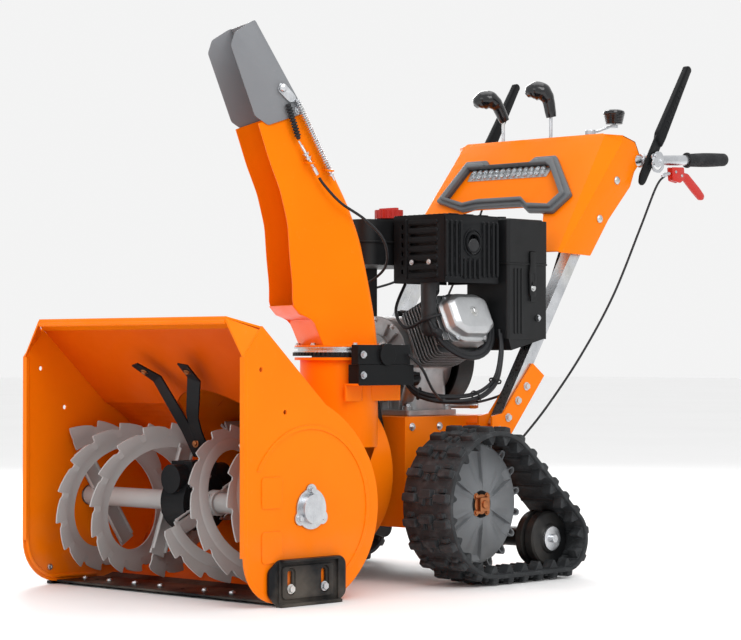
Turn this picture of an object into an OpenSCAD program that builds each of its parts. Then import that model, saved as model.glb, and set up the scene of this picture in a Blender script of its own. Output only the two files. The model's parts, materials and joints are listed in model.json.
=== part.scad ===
// Two stage snowblower on tracks. Row frame: origin on the ground under the middle of the
// machine's box, +Z up, +Y rearwards to the operator, +X to the machine's left.

/* [Bucket] */
// Clearing width over the two side plates
bucket_w = 700; // [690:1:705]
// Whole length, from the bucket's front edge to the ends of the grips
length = 1660; // [1656:1:1664]
// Height of the bucket's top lip
lip_z = 572; // [568:1:576]
// Height of the auger's axis
auger_z = 190; // [188:1:192]
// Sheet thickness of bucket and side plates
sheet = 4; // [3:0.5:5]

/* [Auger and impeller] */
// Outer radius of the ribbon flights
flight_r = 165; // [150:1:168]
// Height of the impeller's axis
impeller_z = 240; // [238:1:242]
// Outer radius of the impeller drum
drum_r = 190; // [186:1:192]

/* [Chute] */
// Yaw of the chute as it stands, towards the machine's right
chute_yaw = -23; // [-40:1:0]
// Outside width of the chute channel
chute_w = 144; // [140:1:150]

/* [Tracks] */
// Outer face of each track belt, from the middle plane
track_outer_x = 384; // [380:1:388]
// Width of each track belt
track_w = 140; // [120:1:142]
// Radius of the belt's inside at the sprocket
track_r1 = 150; // [148:1:152]
// Radius of the belt's inside at the idler
track_r2 = 62; // [60:1:64]

/* [Handles] */
// Half distance between the square handle tubes
tube_x = 228; // [224:1:230]
// Side of the square handle tube
tube_a = 30; // [28:1:32]
// Half width of the dash panel
dash_x = 260; // [250:1:264]

/* [Hidden] */
$fn = 48;

orange = "#f57c14";
dark = "#26282a";
zinc = "#b9bcc0";

front_y = -length / 2;
plate_x = bucket_w / 2;
auger_y = front_y + 182;
bend_r = 192;
bend2_r = 277;
bend_a = 35;
bend2_a = 66;
bend2_y = auger_y + (bend_r - bend2_r) * cos(bend_a);
bend2_z = auger_z + (bend_r - bend2_r) * sin(bend_a);
kink_z = 495;
lip_y = front_y + 48;
lip_rear_z = lip_z - 20;
corner_r = 94;
skirt_z = 6;

drum_front_y = -665;
drum_back_y = -238;
chute_x = 108;
chute_y = -322;
ring_z = 497;
ring_r = 100;
neck_r = 85;

sprocket_y = -105;
sprocket_z = 174;
idler_y = 128;
idler_z = 87;
belt_t = 10;
lug_h = 14;
lugs = 24;

crank_z = 490;
slope = atan2(307, 205);
dash_a = 53.7;
dash_y = 255;
dash_z = 738;

// Shared shapes

function arc(cy, cz, r, a0, a1, n) =
    [for (i = [0:n]) let(a = a0 + (a1 - a0) * i / n) [cy + r * cos(a), cz + r * sin(a)]];

// Wrapper's line from its bottom edge round the auger and up to the lip, moved out by o
function wrapper_line(o) = concat(
    arc(auger_y, auger_z, bend_r + o, -68, bend_a, 22),
    arc(bend2_y, bend2_z, bend2_r + o, bend_a + 3, bend2_a, 7),
    [[lip_y + o * 0.4, lip_rear_z + o]]);

module along_x(x0, x1) {
    translate([x0, 0, 0])
        rotate([90, 0, 90])
            linear_extrude(x1 - x0)
                children();
}

module rod_x(x0, x1, y, z, r) {
    translate([x0, y, z])
        rotate([0, 90, 0])
            cylinder(r = r, h = x1 - x0);
}

module rod_y(y0, y1, x, z, r) {
    translate([x, y0, z])
        rotate([-90, 0, 0])
            cylinder(r = r, h = y1 - y0);
}

module round_box(size, r) {
    linear_extrude(size[2])
        round_rect(size[0], size[1], r);
}

module round_rect(a, b, r) {
    square([a - 2 * r, b], center = true);
    square([a, b - 2 * r], center = true);
    for (x = [-1, 1])
        for (y = [-1, 1])
            translate([x * (a / 2 - r), y * (b / 2 - r)])
                circle(r = r);
}

// Hexagon bolt head with washer, standing on z = 0
module bolt_head(r = 7) {
    cylinder(r = r * 1.35, h = 1.6);
    translate([0, 0, 1.5])
        cylinder(r = r, h = r * 0.75, $fn = 6);
}

// Points of a tube swept along hand-picked points
function unit(v) = v / norm(v);
function tangent(p, i) = unit(p[min(i + 1, len(p) - 1)] - p[max(i - 1, 0)]);
function side_of(t) = unit(cross(t, abs(t[2]) < 0.9 ? [0, 0, 1] : [1, 0, 0]));
function spline_at(p, i, t) =
    let(a = p[max(i - 1, 0)], b = p[i], c = p[i + 1], d = p[min(i + 2, len(p) - 1)])
    0.5 * (2 * b + (c - a) * t + (2 * a - 5 * b + 4 * c - d) * t * t
        + (3 * b - a - 3 * c + d) * t * t * t);
function smooth(p, n) = concat(
    [for (i = [0:len(p) - 2]) for (k = [0:n - 1]) spline_at(p, i, k / n)], [p[len(p) - 1]]);

module tube_along(points, r, sides = 8) {
    n = len(points);
    verts = [for (i = [0:n - 1])
        let(t = tangent(points, i), s = side_of(t), u = cross(s, t))
        for (k = [0:sides - 1])
            points[i] + r * (cos(360 * k / sides) * s + sin(360 * k / sides) * u)];
    sidefaces = [for (i = [0:n - 2]) for (k = [0:sides - 1])
        let(a = i * sides + k, b = i * sides + (k + 1) % sides)
        each [[a, b, b + sides], [a, b + sides, a + sides]]];
    polyhedron(verts, concat(sidefaces,
        [[for (k = [sides - 1:-1:0]) k]],
        [[for (k = [0:sides - 1]) (n - 1) * sides + k]]));
}

module mirrored() {
    children();
    mirror([1, 0, 0])
        children();
}

// Bucket

module bucket_inside(x0, x1) {
    along_x(x0, x1)
        polygon(concat(wrapper_line(0), [[front_y - 60, lip_z + 40], [front_y - 60, -5]]));
}

module bucket_wrapper() {
    color(orange) {
        difference() {
            along_x(-plate_x + sheet + 0.5, plate_x - sheet - 0.5)
                polygon(concat(wrapper_line(sheet), [for (i = [30:-1:0]) wrapper_line(0)[i]]));
            rod_y(drum_front_y - 100, drum_back_y, 0, impeller_z, drum_r - sheet);
        }
        translate([0, lip_y, lip_rear_z])
            rotate([-22.6, 0, 0])
                linear_extrude(sheet)
                    polygon([[plate_x - 5, 0], [296, -52], [-296, -52], [5 - plate_x, 0]]);
        along_x(-296, 296)
            polygon([[front_y, lip_z - 12], [front_y + 3, lip_z - 12], [front_y + 3, lip_z],
                [front_y, lip_z]]);
    }
}

// Outline of a side plate
module plate_outline() {
    polygon(concat(wrapper_line(sheet),
        [[front_y, kink_z]],
        arc(front_y + corner_r, skirt_z + corner_r, corner_r, 180, 270, 10)));
}

module side_plate() {
    difference() {
        union() {
            along_x(plate_x - sheet, plate_x)
                plate_outline();
            // ring bead and stepped pads pressed into the plate
            along_x(plate_x - 1, plate_x + 2)
                difference() {
                    translate([auger_y, auger_z])
                        circle(r = 168, $fn = 72);
                    translate([auger_y, auger_z])
                        circle(r = 160, $fn = 72);
                    translate([front_y - 10, auger_z - 200])
                        square([150, 280]);
                    translate([auger_y - 100, auger_z - 200])
                        square([200, 110]);
                }
            for (z = [118, 226])
                along_x(plate_x - 1, plate_x + 2)
                    translate([front_y + 75, z])
                        round_rect(56, 62, 8);
            // stiffening flange along the front edge
            translate([plate_x - 12, front_y, 100])
                cube([12, 3, kink_z - 100]);
        }
        for (hole = [[front_y + 46, 470], [front_y + 112, 385]])
            along_x(plate_x - 10, plate_x + 5)
                translate(hole)
                    circle(r = 5);
        rod_x(plate_x - 10, plate_x + 10, auger_y, auger_z, 22);
    }
    // corner panel folded in to the lip
    polyhedron([[plate_x - 0.5, front_y + 0.5, kink_z - 5], [plate_x - 0.5, lip_y, lip_rear_z - 5],
        [297, front_y, lip_z],
        [plate_x - sheet + 0.5, front_y + 0.5, kink_z - 5],
        [plate_x - sheet + 0.5, lip_y, lip_rear_z - 5], [297 - sheet, front_y, lip_z - 3]],
        [[0, 2, 1], [5, 3, 4], [0, 1, 4, 3], [1, 2, 5, 4], [2, 0, 3, 5]]);
}

module side_plate_left() {
    color(orange)
        side_plate();
}

module side_plate_right() {
    color(orange)
        mirror([1, 0, 0])
            side_plate();
}

module scraper_bar() {
    color(dark)
        difference() {
            along_x(-plate_x + 6, plate_x - 6)
                polygon([[front_y + 90, 5], [front_y + 225, 5], [front_y + 250, 13],
                    [front_y + 248, 16], [front_y + 223, 9], [front_y + 90, 9]]);
            for (x = [-280:140:280])
                translate([x, front_y + 150, 0])
                    cylinder(r = 5, h = 30);
        }
}

module impeller_drum() {
    color(orange) {
        difference() {
            union() {
                rod_y(drum_front_y, drum_back_y, 0, impeller_z, drum_r);
                translate([chute_x, chute_y, 300])
                    cylinder(r = neck_r, h = 190);
                translate([chute_x, chute_y, 488])
                    cylinder(r = 97, h = 6);
            }
            bucket_inside(-plate_x, plate_x);
            along_x(-plate_x, plate_x)
                polygon(concat(wrapper_line(sheet + 0.5), [[front_y, lip_z], [front_y, 0]]));
            rod_y(drum_front_y - 20, drum_back_y - sheet, 0, impeller_z, drum_r - sheet);
            translate([chute_x, chute_y, 250])
                cylinder(r = neck_r - sheet, h = 300);
            rod_y(drum_back_y - 30, drum_back_y + 10, 0, impeller_z, 20);
        }
        difference() {
            rod_y(drum_back_y - 10, drum_back_y, 0, impeller_z, 45);
            rod_y(drum_back_y - 30, drum_back_y + 10, 0, impeller_z, 13.1);
        }
    }
}

module bearing_flange() {
    translate([plate_x + 0.2, auger_y, auger_z])
        rotate([90, 0, 90]) {
            difference() {
                union() {
                    linear_extrude(4) {
                        circle(r = 41);
                        for (a = [90, 210, 330])
                            rotate(a)
                                translate([36, 0]) {
                                    circle(r = 14);
                                    translate([-18, -14])
                                        square([18, 28]);
                                }
                    }
                    cylinder(r = 30, h = 15);
                }
                translate([0, 0, -5])
                    cylinder(r = 13.3, h = 17);
            }
            for (a = [90, 210, 330])
                rotate(a)
                    translate([37, 0, 3.9])
                        bolt_head(6);
        }
}

module bearing_flanges() {
    color(zinc)
        mirrored()
            bearing_flange();
}

module auger_gearbox() {
    color(dark)
        difference() {
            union() {
                rod_x(-36, 36, auger_y, auger_z, 62);
                rod_x(-44, 44, auger_y, auger_z, 34);
                rod_y(auger_y - 66, auger_y + 82, 0, impeller_z, 30);
                translate([-33, auger_y - 34, impeller_z - 10])
                    cube([66, 68, 46]);
            }
            rod_x(-29, 29, auger_y, auger_z, 48);
            rod_x(-60, 60, auger_y, auger_z, 13.3);
            rod_y(auger_y - 50, auger_y + 66, 0, impeller_z, 20);
            rod_y(auger_y + 50, auger_y + 90, 0, impeller_z, 13.1);
        }
}

// Forked brace from the gearbox top to the bucket's roof
module gearbox_brace() {
    color(dark) {
        translate([-32, auger_y - 34, impeller_z + 36.5])
            cube([64, 68, 5]);
        difference() {
            mirrored() {
                brace_arm([17.5, auger_y + 26, impeller_z + 44.5], [17.5, auger_y - 20, 350]);
                brace_arm([18.5, auger_y - 20.6, 350], [73, auger_y - 62, 506]);
            }
            along_x(-150, 150)
                polygon(concat(wrapper_line(-0.4), [[lip_y, 700], [-300, 700], [-300, 0]]));
        }
        for (x = [-22, 22])
            for (y = [-24, 24])
                translate([x, auger_y + y, impeller_z + 41.4])
                    bolt_head(5);
    }
}

module brace_arm(a, b) {
    d = b - a;
    translate(a)
        rotate([0, atan2(norm([d[0], d[1]]), d[2]), atan2(d[1], d[0])])
            translate([0, 0, norm(d) / 2])
                cube([5, 32, norm(d) + 14], center = true);
}

module skid_bolts() {
    color(zinc)
        mirrored()
            for (y = [front_y + 118, front_y + 212])
                translate([plate_x + 0.2, y, 34])
                    rotate([0, 90, 0]) {
                        cylinder(r = 5.5, h = 14);
                        translate([0, 0, 8.5])
                            cylinder(r = 10, h = 2);
                        translate([0, 0, 10])
                            cylinder(r = 7.5, h = 6, $fn = 6);
                    }
}

// Auger

module auger_shaft() {
    color("#a79e99") {
        rod_x(-plate_x - 8, plate_x + 8, auger_y, auger_z, 13);
        mirrored()
            rod_x(48, plate_x - 8, auger_y, auger_z, 21);
    }
    color("#b08d4c") {
        rod_x(-10, 10, auger_y, auger_z, 35);
        for (a = [0:18:342])
            translate([-10, auger_y, auger_z])
                rotate([a, 0, 0])
                    translate([0, -2.5, 33])
                        cube([20, 5, 4.2]);
    }
}

ribbon_turns = 1.15;
ribbon_steps = 46;
ribbon_in = 112;
ribbon_x0 = 62;
ribbon_x1 = plate_x - 14;

// Serrated outer radius: sharp teeth that lean with the turn
function tooth_r(i) = flight_r - 13 + 13 * ((i % 3) == 0 ? 1 : (i % 3) == 1 ? 0.45 : 0);

module ribbon(start) {
    n = ribbon_steps;
    pts = [for (i = [0:n])
        let(a = start + 360 * ribbon_turns * i / n,
            x = ribbon_x0 + 8 + (ribbon_x1 - ribbon_x0 - 14) * i / n,
            c = cos(a), s = sin(a), q = tooth_r(i))
        each [[x, ribbon_in * c, ribbon_in * s], [x + 5, ribbon_in * c, ribbon_in * s],
            [x + 3, q * c, q * s], [x - 2, q * c, q * s]]];
    faces = [for (i = [0:n - 1]) for (k = [0:3])
        let(a = 4 * i + k, b = 4 * i + (k + 1) % 4)
        each [[a, b + 4, b], [a, a + 4, b + 4]]];
    translate([0, auger_y, auger_z])
        polyhedron(pts, concat(faces, [[0, 1, 2], [0, 2, 3]],
            [[4 * n + 2, 4 * n + 1, 4 * n], [4 * n + 3, 4 * n + 2, 4 * n]]));
}

// Flat straps that carry the ribbon on the tube
module strap(x, a) {
    translate([x, auger_y, auger_z])
        rotate([a, 0, 0])
            translate([-2.5, -19, 21.4])
                cube([5, 38, 100.6]);
}

module flight_pair(start) {
    for (start_a = [start, start + 180])
        ribbon(start_a);
    for (k = [0:1]) {
        strap(ribbon_x0 + 10, start + 180 * k - 85);
        strap(ribbon_x1 - 40, start + 180 * k + 360 * (ribbon_turns - 0.16) - 90);
    }
    for (x = [ribbon_x0 + 10, ribbon_x1 - 40])
        difference() {
            rod_x(x - 12, x + 12, auger_y, auger_z, 27);
            rod_x(x - 20, x + 20, auger_y, auger_z, 21.2);
        }
}

module auger_flights() {
    color("#a79e99") {
        flight_pair(20);
        mirror([1, 0, 0])
            flight_pair(65);
    }
}

// Impeller

module impeller() {
    color("#a79e99")
        difference() {
            union() {
                rod_y(-458, -262, 0, impeller_z, 30);
                rod_y(-274, -268, 0, impeller_z, 90);
                for (a = [0:72:288])
                    translate([0, 0, impeller_z])
                        rotate([0, a, 0]) {
                            translate([20, -440, -3])
                                cube([158, 168, 6]);
                            translate([150, -440, -3])
                                rotate([0, 30, 0])
                                    cube([24, 168, 5]);
                        }
            }
            rod_y(-470, -250, 0, impeller_z, 12.9);
        }
}

module impeller_shaft() {
    color(zinc) {
        rod_y(auger_y - 40, -180, 0, impeller_z, 12.6);
        rod_y(auger_y - 24, auger_y + 24, 0, impeller_z, 12.2);
        difference() {
            rod_y(-216, -190, 0, impeller_z, 104);
            rod_y(-230, -180, 0, impeller_z, 30);
            for (y = [-209, -197])
                translate([0, y, impeller_z])
                    rotate([90, 0, 0])
                        rotate_extrude($fn = 72)
                            translate([97, 0])
                                polygon([[0, -3], [9, -5.5], [9, 5.5], [0, 3]]);
        }
        rod_y(-206, -200, 0, impeller_z, 40);
    }
}

module crank_pulley() {
    color(zinc) {
        rod_y(-190, -110, 0, crank_z, 12.5);
        difference() {
            rod_y(-216, -188, 0, crank_z, 42);
            for (y = [-209, -197])
                translate([0, y, crank_z])
                    rotate([90, 0, 0])
                        rotate_extrude()
                            translate([35, 0])
                                polygon([[0, -3], [9, -5.5], [9, 5.5], [0, 3]]);
        }
    }
}

// Two circles joined by their outer tangents, moved out by o
function loop_line(ca, ra, cb, rb, o, n) =
    let(d = norm(cb - ca), p = atan2(cb[1] - ca[1], cb[0] - ca[0]), b = acos((ra - rb) / d))
    concat(arc(ca[0], ca[1], ra + o, p + b, p + 360 - b, n),
        arc(cb[0], cb[1], rb + o, p - b, p + b, round(n * 0.6)));

module drive_belts() {
    color("#1b1b1c")
        for (y = [-213, -201])
            translate([0, y + 8, 0])
                rotate([90, 0, 0])
                    linear_extrude(8)
                        difference() {
                            polygon(loop_line([0, impeller_z], 104.5, [0, crank_z], 42.5, 7, 30));
                            polygon(loop_line([0, impeller_z], 104.5, [0, crank_z], 42.5, 0, 30));
                        }
}

module belt_cover() {
    color(dark)
        difference() {
            translate([0, -177, 0])
                rotate([90, 0, 0])
                    linear_extrude(58)
                        polygon(loop_line([0, impeller_z], 104.5, [0, crank_z], 42.5, 22, 30));
            translate([0, -170, 0])
                rotate([90, 0, 0])
                    linear_extrude(61)
                        polygon(loop_line([0, impeller_z], 104.5, [0, crank_z], 42.5, 18, 30));
            rod_y(-240, -170, 0, impeller_z, 14);
            translate([chute_x, chute_y, ring_z - 3])
                cylinder(r = ring_r + 3, h = 60);
        }
}

// Frame

frame_x = 165;
frame_y0 = -172;
frame_y1 = 146;
frame_z0 = 118;
frame_z1 = 362;

module frame() {
    color(orange)
        difference() {
            union() {
                translate([-frame_x, frame_y0, frame_z0])
                    cube([2 * frame_x, frame_y1 - frame_y0, frame_z1 - frame_z0]);
                translate([-203.7, 30, 306])
                    cube([407.4, 34, 40]);
            }
            translate([-frame_x + 4, frame_y0 + 4, frame_z0 - 1])
                cube([2 * frame_x - 8, frame_y1 - frame_y0 - 8, frame_z1 - frame_z0 - 3]);
            rod_y(frame_y0 - 5, frame_y0 + 10, 0, impeller_z, 30);
            rod_x(-200, 200, sprocket_y, sprocket_z, 26);
            translate([-90, frame_y0 - 5, 300])
                cube([180, 15, 40]);
            for (x = [-90, 90])
                for (y = [-85, 45])
                    translate([x, y, 350])
                        cylinder(r = 5.5, h = 20);
        }
}

module undercarriage() {
    color(dark) {
        translate([-frame_x + 6, frame_y0 + 6, frame_z0 + 1])
            cube([2 * frame_x - 12, frame_y1 - frame_y0 - 12, 3]);
        mirrored()
            difference() {
                union() {
                    translate([frame_x + 0.3, sprocket_y, sprocket_z])
                        rotate([90, 0, 90])
                            round_box([84, 84, 4], 14);
                    rod_x(frame_x + 1, frame_x + 16, sprocket_y, sprocket_z, 30);
                    // track arm from the axle to the idler's pin
                    along_x(frame_x + 17, frame_x + 25)
                        difference() {
                            polygon(loop_line([sprocket_y, sprocket_z], 34, [idler_y, idler_z], 24,
                                0, 24));
                            translate([sprocket_y, sprocket_z])
                                circle(r = 13.2);
                        }
                    rod_x(frame_x + 20, track_outer_x - 60, idler_y, idler_z, 9.6);
                    rod_x(frame_x + 24, track_outer_x - 124, idler_y, idler_z, 22);
                }
                rod_x(frame_x - 20, frame_x + 60, sprocket_y, sprocket_z, 13.2);
            }
    }
}

// Engine

module crankcase() {
    color("#8d9092")
        difference() {
            union() {
                translate([0, -26, 363])
                    round_box([236, 166, 12], 14);
                translate([0, -15, 374])
                    round_box([190, 140, 120], 30);
                rod_y(-96, 58, 0, crank_z, 98);
                rod_y(-108, -90, 0, crank_z, 58);
                translate([0, -15, crank_z])
                    rotate([0, -25, 0])
                        translate([40, -58, -58])
                            cube([56, 116, 116]);
                for (x = [-90, 90])
                    for (y = [-85, 45])
                        translate([x, y, 374])
                            cylinder(r = 12, h = 8);
                // oil filler neck and drain tube
                translate([88, -82, 402])
                    rotate([0, 40, -30])
                        cylinder(r = 15, h = 56);
                translate([80, 48, 384])
                    rotate([90, 0, 128])
                        cylinder(r = 7, h = 78);
            }
            rod_y(-120, 80, 0, crank_z, 13);
        }
}

module cylinder_block() {
    color("#7c7f82")
        translate([0, -15, crank_z])
            rotate([0, -25, 0]) {
                translate([98.4, 0, 0])
                    rotate([0, 90, 0])
                        cylinder(r = 50, h = 117.8);
                for (i = [0:8])
                    translate([99 + 9 * i, 0, 0])
                        rotate([90, 0, 90])
                            round_box([136 - (i == 0 ? 12 : 0), 132, 3.2], 12);
                translate([182, 0, 0])
                    rotate([90, 0, 90])
                        round_box([132, 112, 34], 10);
                for (i = [0:3])
                    translate([184 + 8 * i, -81, -50])
                        cube([3, 30, 100]);
            }
}

module rocker_cover() {
    color("#c9ccd0")
        translate([0, -15, crank_z])
            rotate([0, -25, 0])
                translate([216.5, 0, 0])
                    rotate([0, 90, 0]) {
                        linear_extrude(8)
                            rocker_outline(0);
                        translate([0, 0, 7])
                            linear_extrude(22)
                                rocker_outline(-7);
                        translate([0, 0, 28])
                            linear_extrude(8)
                                rocker_outline(-16);
                        translate([0, 0, 35])
                            bolt_head(8);
                    }
}

module rocker_outline(o) {
    polygon([[-58 - o, -34], [-30, -74 - o], [30, -74 - o], [58 + o, -34], [58 + o, 34],
        [30, 74 + o], [-30, 74 + o], [-58 - o, 34]]);
}

shield_x0 = 79;
shield_x1 = 235;
shield_y0 = -118;
shield_y1 = 62;
shield_z0 = 660;
shield_z1 = 812;

module exhaust() {
    color("#3a3b3d") {
        translate([shield_x0 + 14, shield_y0 + 16, shield_z0 + 16])
            cube([shield_x1 - shield_x0 - 30, shield_y1 - shield_y0 - 30, shield_z1 - shield_z0 - 32]);
        difference() {
            translate([168, -93.5, 560]) {
                cylinder(r = 21, h = 120);
                sphere(r = 21);
            }
            translate([0, -96.3, crank_z])
                rotate([0, -25, 0])
                    translate([90, 0, -60])
                        cube([180, 200, 120]);
        }
        rod_x(shield_x1 - 40, shield_x1 + 4, -26, 742, 17);
    }
}

module muffler_shield() {
    color("#202122")
        difference() {
            translate([shield_x0, shield_y0, shield_z0])
                cube([shield_x1 - shield_x0, shield_y1 - shield_y0, shield_z1 - shield_z0]);
            translate([shield_x0 - 1, shield_y0 + 2.5, shield_z0 - 1])
                cube([shield_x1 - shield_x0 - 1.5, shield_y1 - shield_y0 - 5,
                    shield_z1 - shield_z0 - 1.5]);
            for (z = [690, 712, 734, 756, 778])
                translate([shield_x0 + 22, shield_y0 - 5, z])
                    cube([shield_x1 - shield_x0 - 50, 12, 7]);
            for (y = [-102, -86, -70, 18, 34, 48])
                translate([shield_x1 - 5, y, shield_z0 + 22])
                    cube([12, 7, 106]);
            for (y = [-50, -30, -10])
                translate([shield_x1 - 5, y, shield_z0 + 14])
                    cube([12, 7, 34]);
            rod_x(shield_x1 - 10, shield_x1 + 10, -26, 742, 20);
        }
}

box_x0 = 122;
box_x1 = 250;
box_y0 = 78;
box_y1 = 216;
box_z0 = 536;
box_split = 709;
box_z1 = 806;
tube_notch_z = 602;

module air_box() {
    color(dark) {
        difference() {
            union() {
                translate([(box_x0 + box_x1) / 2, (box_y0 + box_y1) / 2, box_z0])
                    round_box([box_x1 - box_x0, box_y1 - box_y0, box_split - box_z0 - 1], 7);
                along_x(box_x0 + 8, box_x1 - 2)
                    polygon([[box_y0 + 3, box_z0 + 2], [box_y0 + 14, box_z0 - 26],
                        [box_y1 - 3, box_z0 + 2]]);
            }
            translate([box_x0 + 3, box_y0 + 3, tube_notch_z + 4])
                cube([box_x1 - box_x0 - 6, box_y1 - box_y0 - 6, box_split - box_z0]);
            translate([box_x0 + 3, box_y0 + 3, box_z0 + 3])
                cube([box_x1 - box_x0 - 6, 70, 100]);
            // the left handle tube runs up behind the outer wall
            translate([tube_x - tube_a / 2 - 4, box_y0 + 78, box_z0 - 40])
                cube([tube_a + 8, 100, tube_notch_z - box_z0 + 40]);
        }
        // strap latch and cover screw
        translate([box_x1 - 0.5, box_y0 + 74, 622])
            cube([6, 18, 112]);
        rod_x(box_x1 + 4, box_x1 + 8, box_y0 + 83, 660, 6);
        rod_x(box_x1 - 1, box_x1 + 3, box_y0 + 100, 583, 7);
    }
}

module air_box_lid() {
    color(dark) {
        difference() {
            translate([(box_x0 + box_x1) / 2, (box_y0 + box_y1) / 2, box_split])
                round_box([box_x1 - box_x0 + 2, box_y1 - box_y0 + 2, box_z1 - box_split], 8);
            translate([box_x0 + 2, box_y0 + 2, box_split - 5])
                cube([box_x1 - box_x0 - 4, box_y1 - box_y0 - 4, box_z1 - box_split + 1]);
            translate([box_x1 - 2, box_y0 + 72, box_split - 5])
                cube([10, 22, 32]);
        }
        translate([180, 134, box_z1 - 1])
            cylinder(r = 12, h = 12);
    }
}

module carburettor() {
    color("#9a9da0") {
        translate([128, 57, 568])
            cube([46, 20, 52]);
        rod_y(53.1, 77.5, 150, 594, 20);
        translate([150, 69, 545])
            cylinder(r = 8, h = 24);
    }
}

module fuel_tank() {
    color(dark) {
        difference() {
            translate([-78, -62, 702])
                round_box([290, 262, 102], 34);
            translate([-78, -62, 706])
                round_box([282, 254, 94], 30);
            translate([-12, -38, 780])
                cylinder(r = 22, h = 40);
        }
        difference() {
            translate([-12, -38, 798])
                cylinder(r = 27, h = 14);
            translate([-12, -38, 780])
                cylinder(r = 22, h = 40);
        }
        for (y = [-140, 20])
            translate([-150, y, 560])
                cube([40, 5, 143]);
        translate([-150, -140, 560])
            cube([40, 165, 5]);
    }
}

module fuel_cap() {
    color("#c8321e")
        translate([-12, -38, 812.6]) {
            difference() {
                cylinder(r = 33, h = 20);
                for (a = [0:20:340])
                    rotate(a)
                        translate([34, 0, -1])
                            cylinder(r = 2.6, h = 30);
            }
            translate([-26, -5, 19])
                cube([52, 10, 6]);
        }
}

module recoil_housing() {
    color(dark)
        difference() {
            union() {
                rod_y(60, 112, 0, crank_z, 118);
                rod_y(110, 138, 0, crank_z, 92);
                translate([-118, 60, crank_z])
                    cube([236, 40, 60]);
                translate([-96, 112, 560])
                    rotate([0, -25, 0])
                        cube([30, 20, 21]);
            }
            rod_y(58, 106, 0, crank_z, 113);
            for (a = [0:20:340])
                translate([0, 125, crank_z])
                    rotate([0, a, 0])
                        translate([44, 0, -4])
                            cube([36, 30, 8]);
            translate([-84, 100, 574])
                rotate([0, -25, 0])
                    cylinder(r = 6, h = 60, center = true);
        }
}

module recoil_handle() {
    color("#202122")
        translate([-84, 122, 574])
            rotate([0, -25, 0]) {
                translate([0, 0, 24])
                    rotate([90, 0, 0])
                        translate([0, 0, -42])
                            cylinder(r = 9, h = 84);
                translate([0, 0, 14])
                    cylinder(r = 5, h = 12);
            }
}

module starter_motor() {
    color("#303235") {
        rod_y(-70, 56, -142, 448, 36);
        rod_y(56, 66, -142, 448, 22);
        rod_y(-30, 50, -142, 496, 15);
    }
}

// Handles and dash

module handle_brackets() {
    color(orange)
        mirrored()
            for (x = [tube_x - 24, tube_x + tube_a / 2 + 1])
                along_x(x, x + 5)
                    polygon([[24, 300], [72, 300], [206, 452], [166, 480], [62, 368], [24, 362]]);
    color(orange)
        mirrored()
            translate([tube_x - 24, 28, 300])
                cube([44, 40, 5]);
    color(zinc)
        mirrored()
            for (p = [[78, 358], [142, 428], [112, 396], [48, 330]])
                translate([tube_x + tube_a / 2 + 6.1, p[0], p[1]])
                    rotate([0, 90, 0])
                        bolt_head(7);
}

tube_low_y = 62;
tube_low_z = 337;
tube_len = 748;

module handle_tube() {
    translate([tube_x, tube_low_y, tube_low_z])
        rotate([slope - 90, 0, 0])
            difference() {
                translate([-tube_a / 2, -tube_a / 2, 0])
                    cube([tube_a, tube_a, tube_len]);
                translate([-tube_a / 2 + 2.5, -tube_a / 2 + 2.5, -1])
                    cube([tube_a - 5, tube_a - 5, tube_len - 20]);
            }
    translate(bar_start)
        rotate([0, bar_tilt, bar_turn])
            cylinder(r = 12.5, h = bar_len);
}

bar_start = [tube_x, 468, 962];
bar_end = [312, 828, 982];
bar_vec = bar_end - bar_start;
bar_len = norm(bar_vec);
bar_tilt = acos(bar_vec[2] / bar_len);
bar_turn = atan2(bar_vec[1], bar_vec[0]);
function on_bar(s) = bar_start + bar_vec * s;

module handle_tubes() {
    color(zinc)
        mirrored()
            handle_tube();
}

// Side outline of the dash: front slope, top, back and the long lower leg
dash_side = [[dash_y, dash_z], [468, 1028], [534, 1011], [550, 983], [514, 902], [430, 819],
    [362, 732]];

module dash_panel() {
    color(orange) {
        translate([0, dash_y, dash_z])
            rotate([dash_a, 0, 0])
                linear_extrude(3)
                    polygon([[-dash_x, 0], [-dash_x, 306], [-dash_x + 30, 360], [dash_x - 6, 360],
                        [dash_x, 350], [dash_x, 0], [dash_x - 62, 0], [150, 116], [80, 140],
                        [-80, 140], [-150, 116], [62 - dash_x, 0]]);
        difference() {
            union() {
                along_x(dash_x - 3, dash_x)
                    polygon(dash_side);
                along_x(-dash_x, 3 - dash_x)
                    polygon([[dash_y, dash_z], [436, 985], [470, 1024], [534, 1011], [550, 983],
                        [514, 902], [430, 819], [362, 732]]);
                along_x(3 - dash_x, dash_x - 3)
                    polygon([[466, 1028], [534, 1010.5], [550, 983], [546, 982], [532, 1006],
                        [466, 1023]]);
            }
            for (x = [-130, 24])
                translate([x, 502, 1000])
                    round_box([15, 54, 50], 7);
            translate([150, 500, 980])
                cylinder(r = 9, h = 60);
            mirrored()
                translate(bar_start)
                    rotate([0, bar_tilt, bar_turn])
                        cylinder(r = 13, h = bar_len);
        }
        // pivot rod under the dash top
        rod_x(1 - dash_x, dash_x - 1, 502, 940, 2.8);
    }
    color(zinc)
        mirrored()
            for (p = [[462, 914], [396, 820]])
                translate([dash_x + 0.2, p[0], p[1]])
                    rotate([0, 90, 0])
                        intersection() {
                            cylinder(r = 10, h = 6);
                            translate([0, 0, -8])
                                sphere(r = 13.5);
                        }
}

module lamp_outline(o) {
    polygon([[-212 - o, 166], [-176 - o, 290 + o], [-108, 290 + o], [-96, 275 + o],
        [36, 275 + o], [46, 290 + o], [112 + o, 290 + o], [217 + o, 166], [184 + o, 113 - o],
        [106, 118 - o], [76, 140 - o], [-68, 140 - o], [-112, 132 - o]]);
}

module on_dash(h) {
    translate([0, dash_y, dash_z])
        rotate([dash_a, 0, 0])
            translate([0, 0, h])
                children();
}

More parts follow.
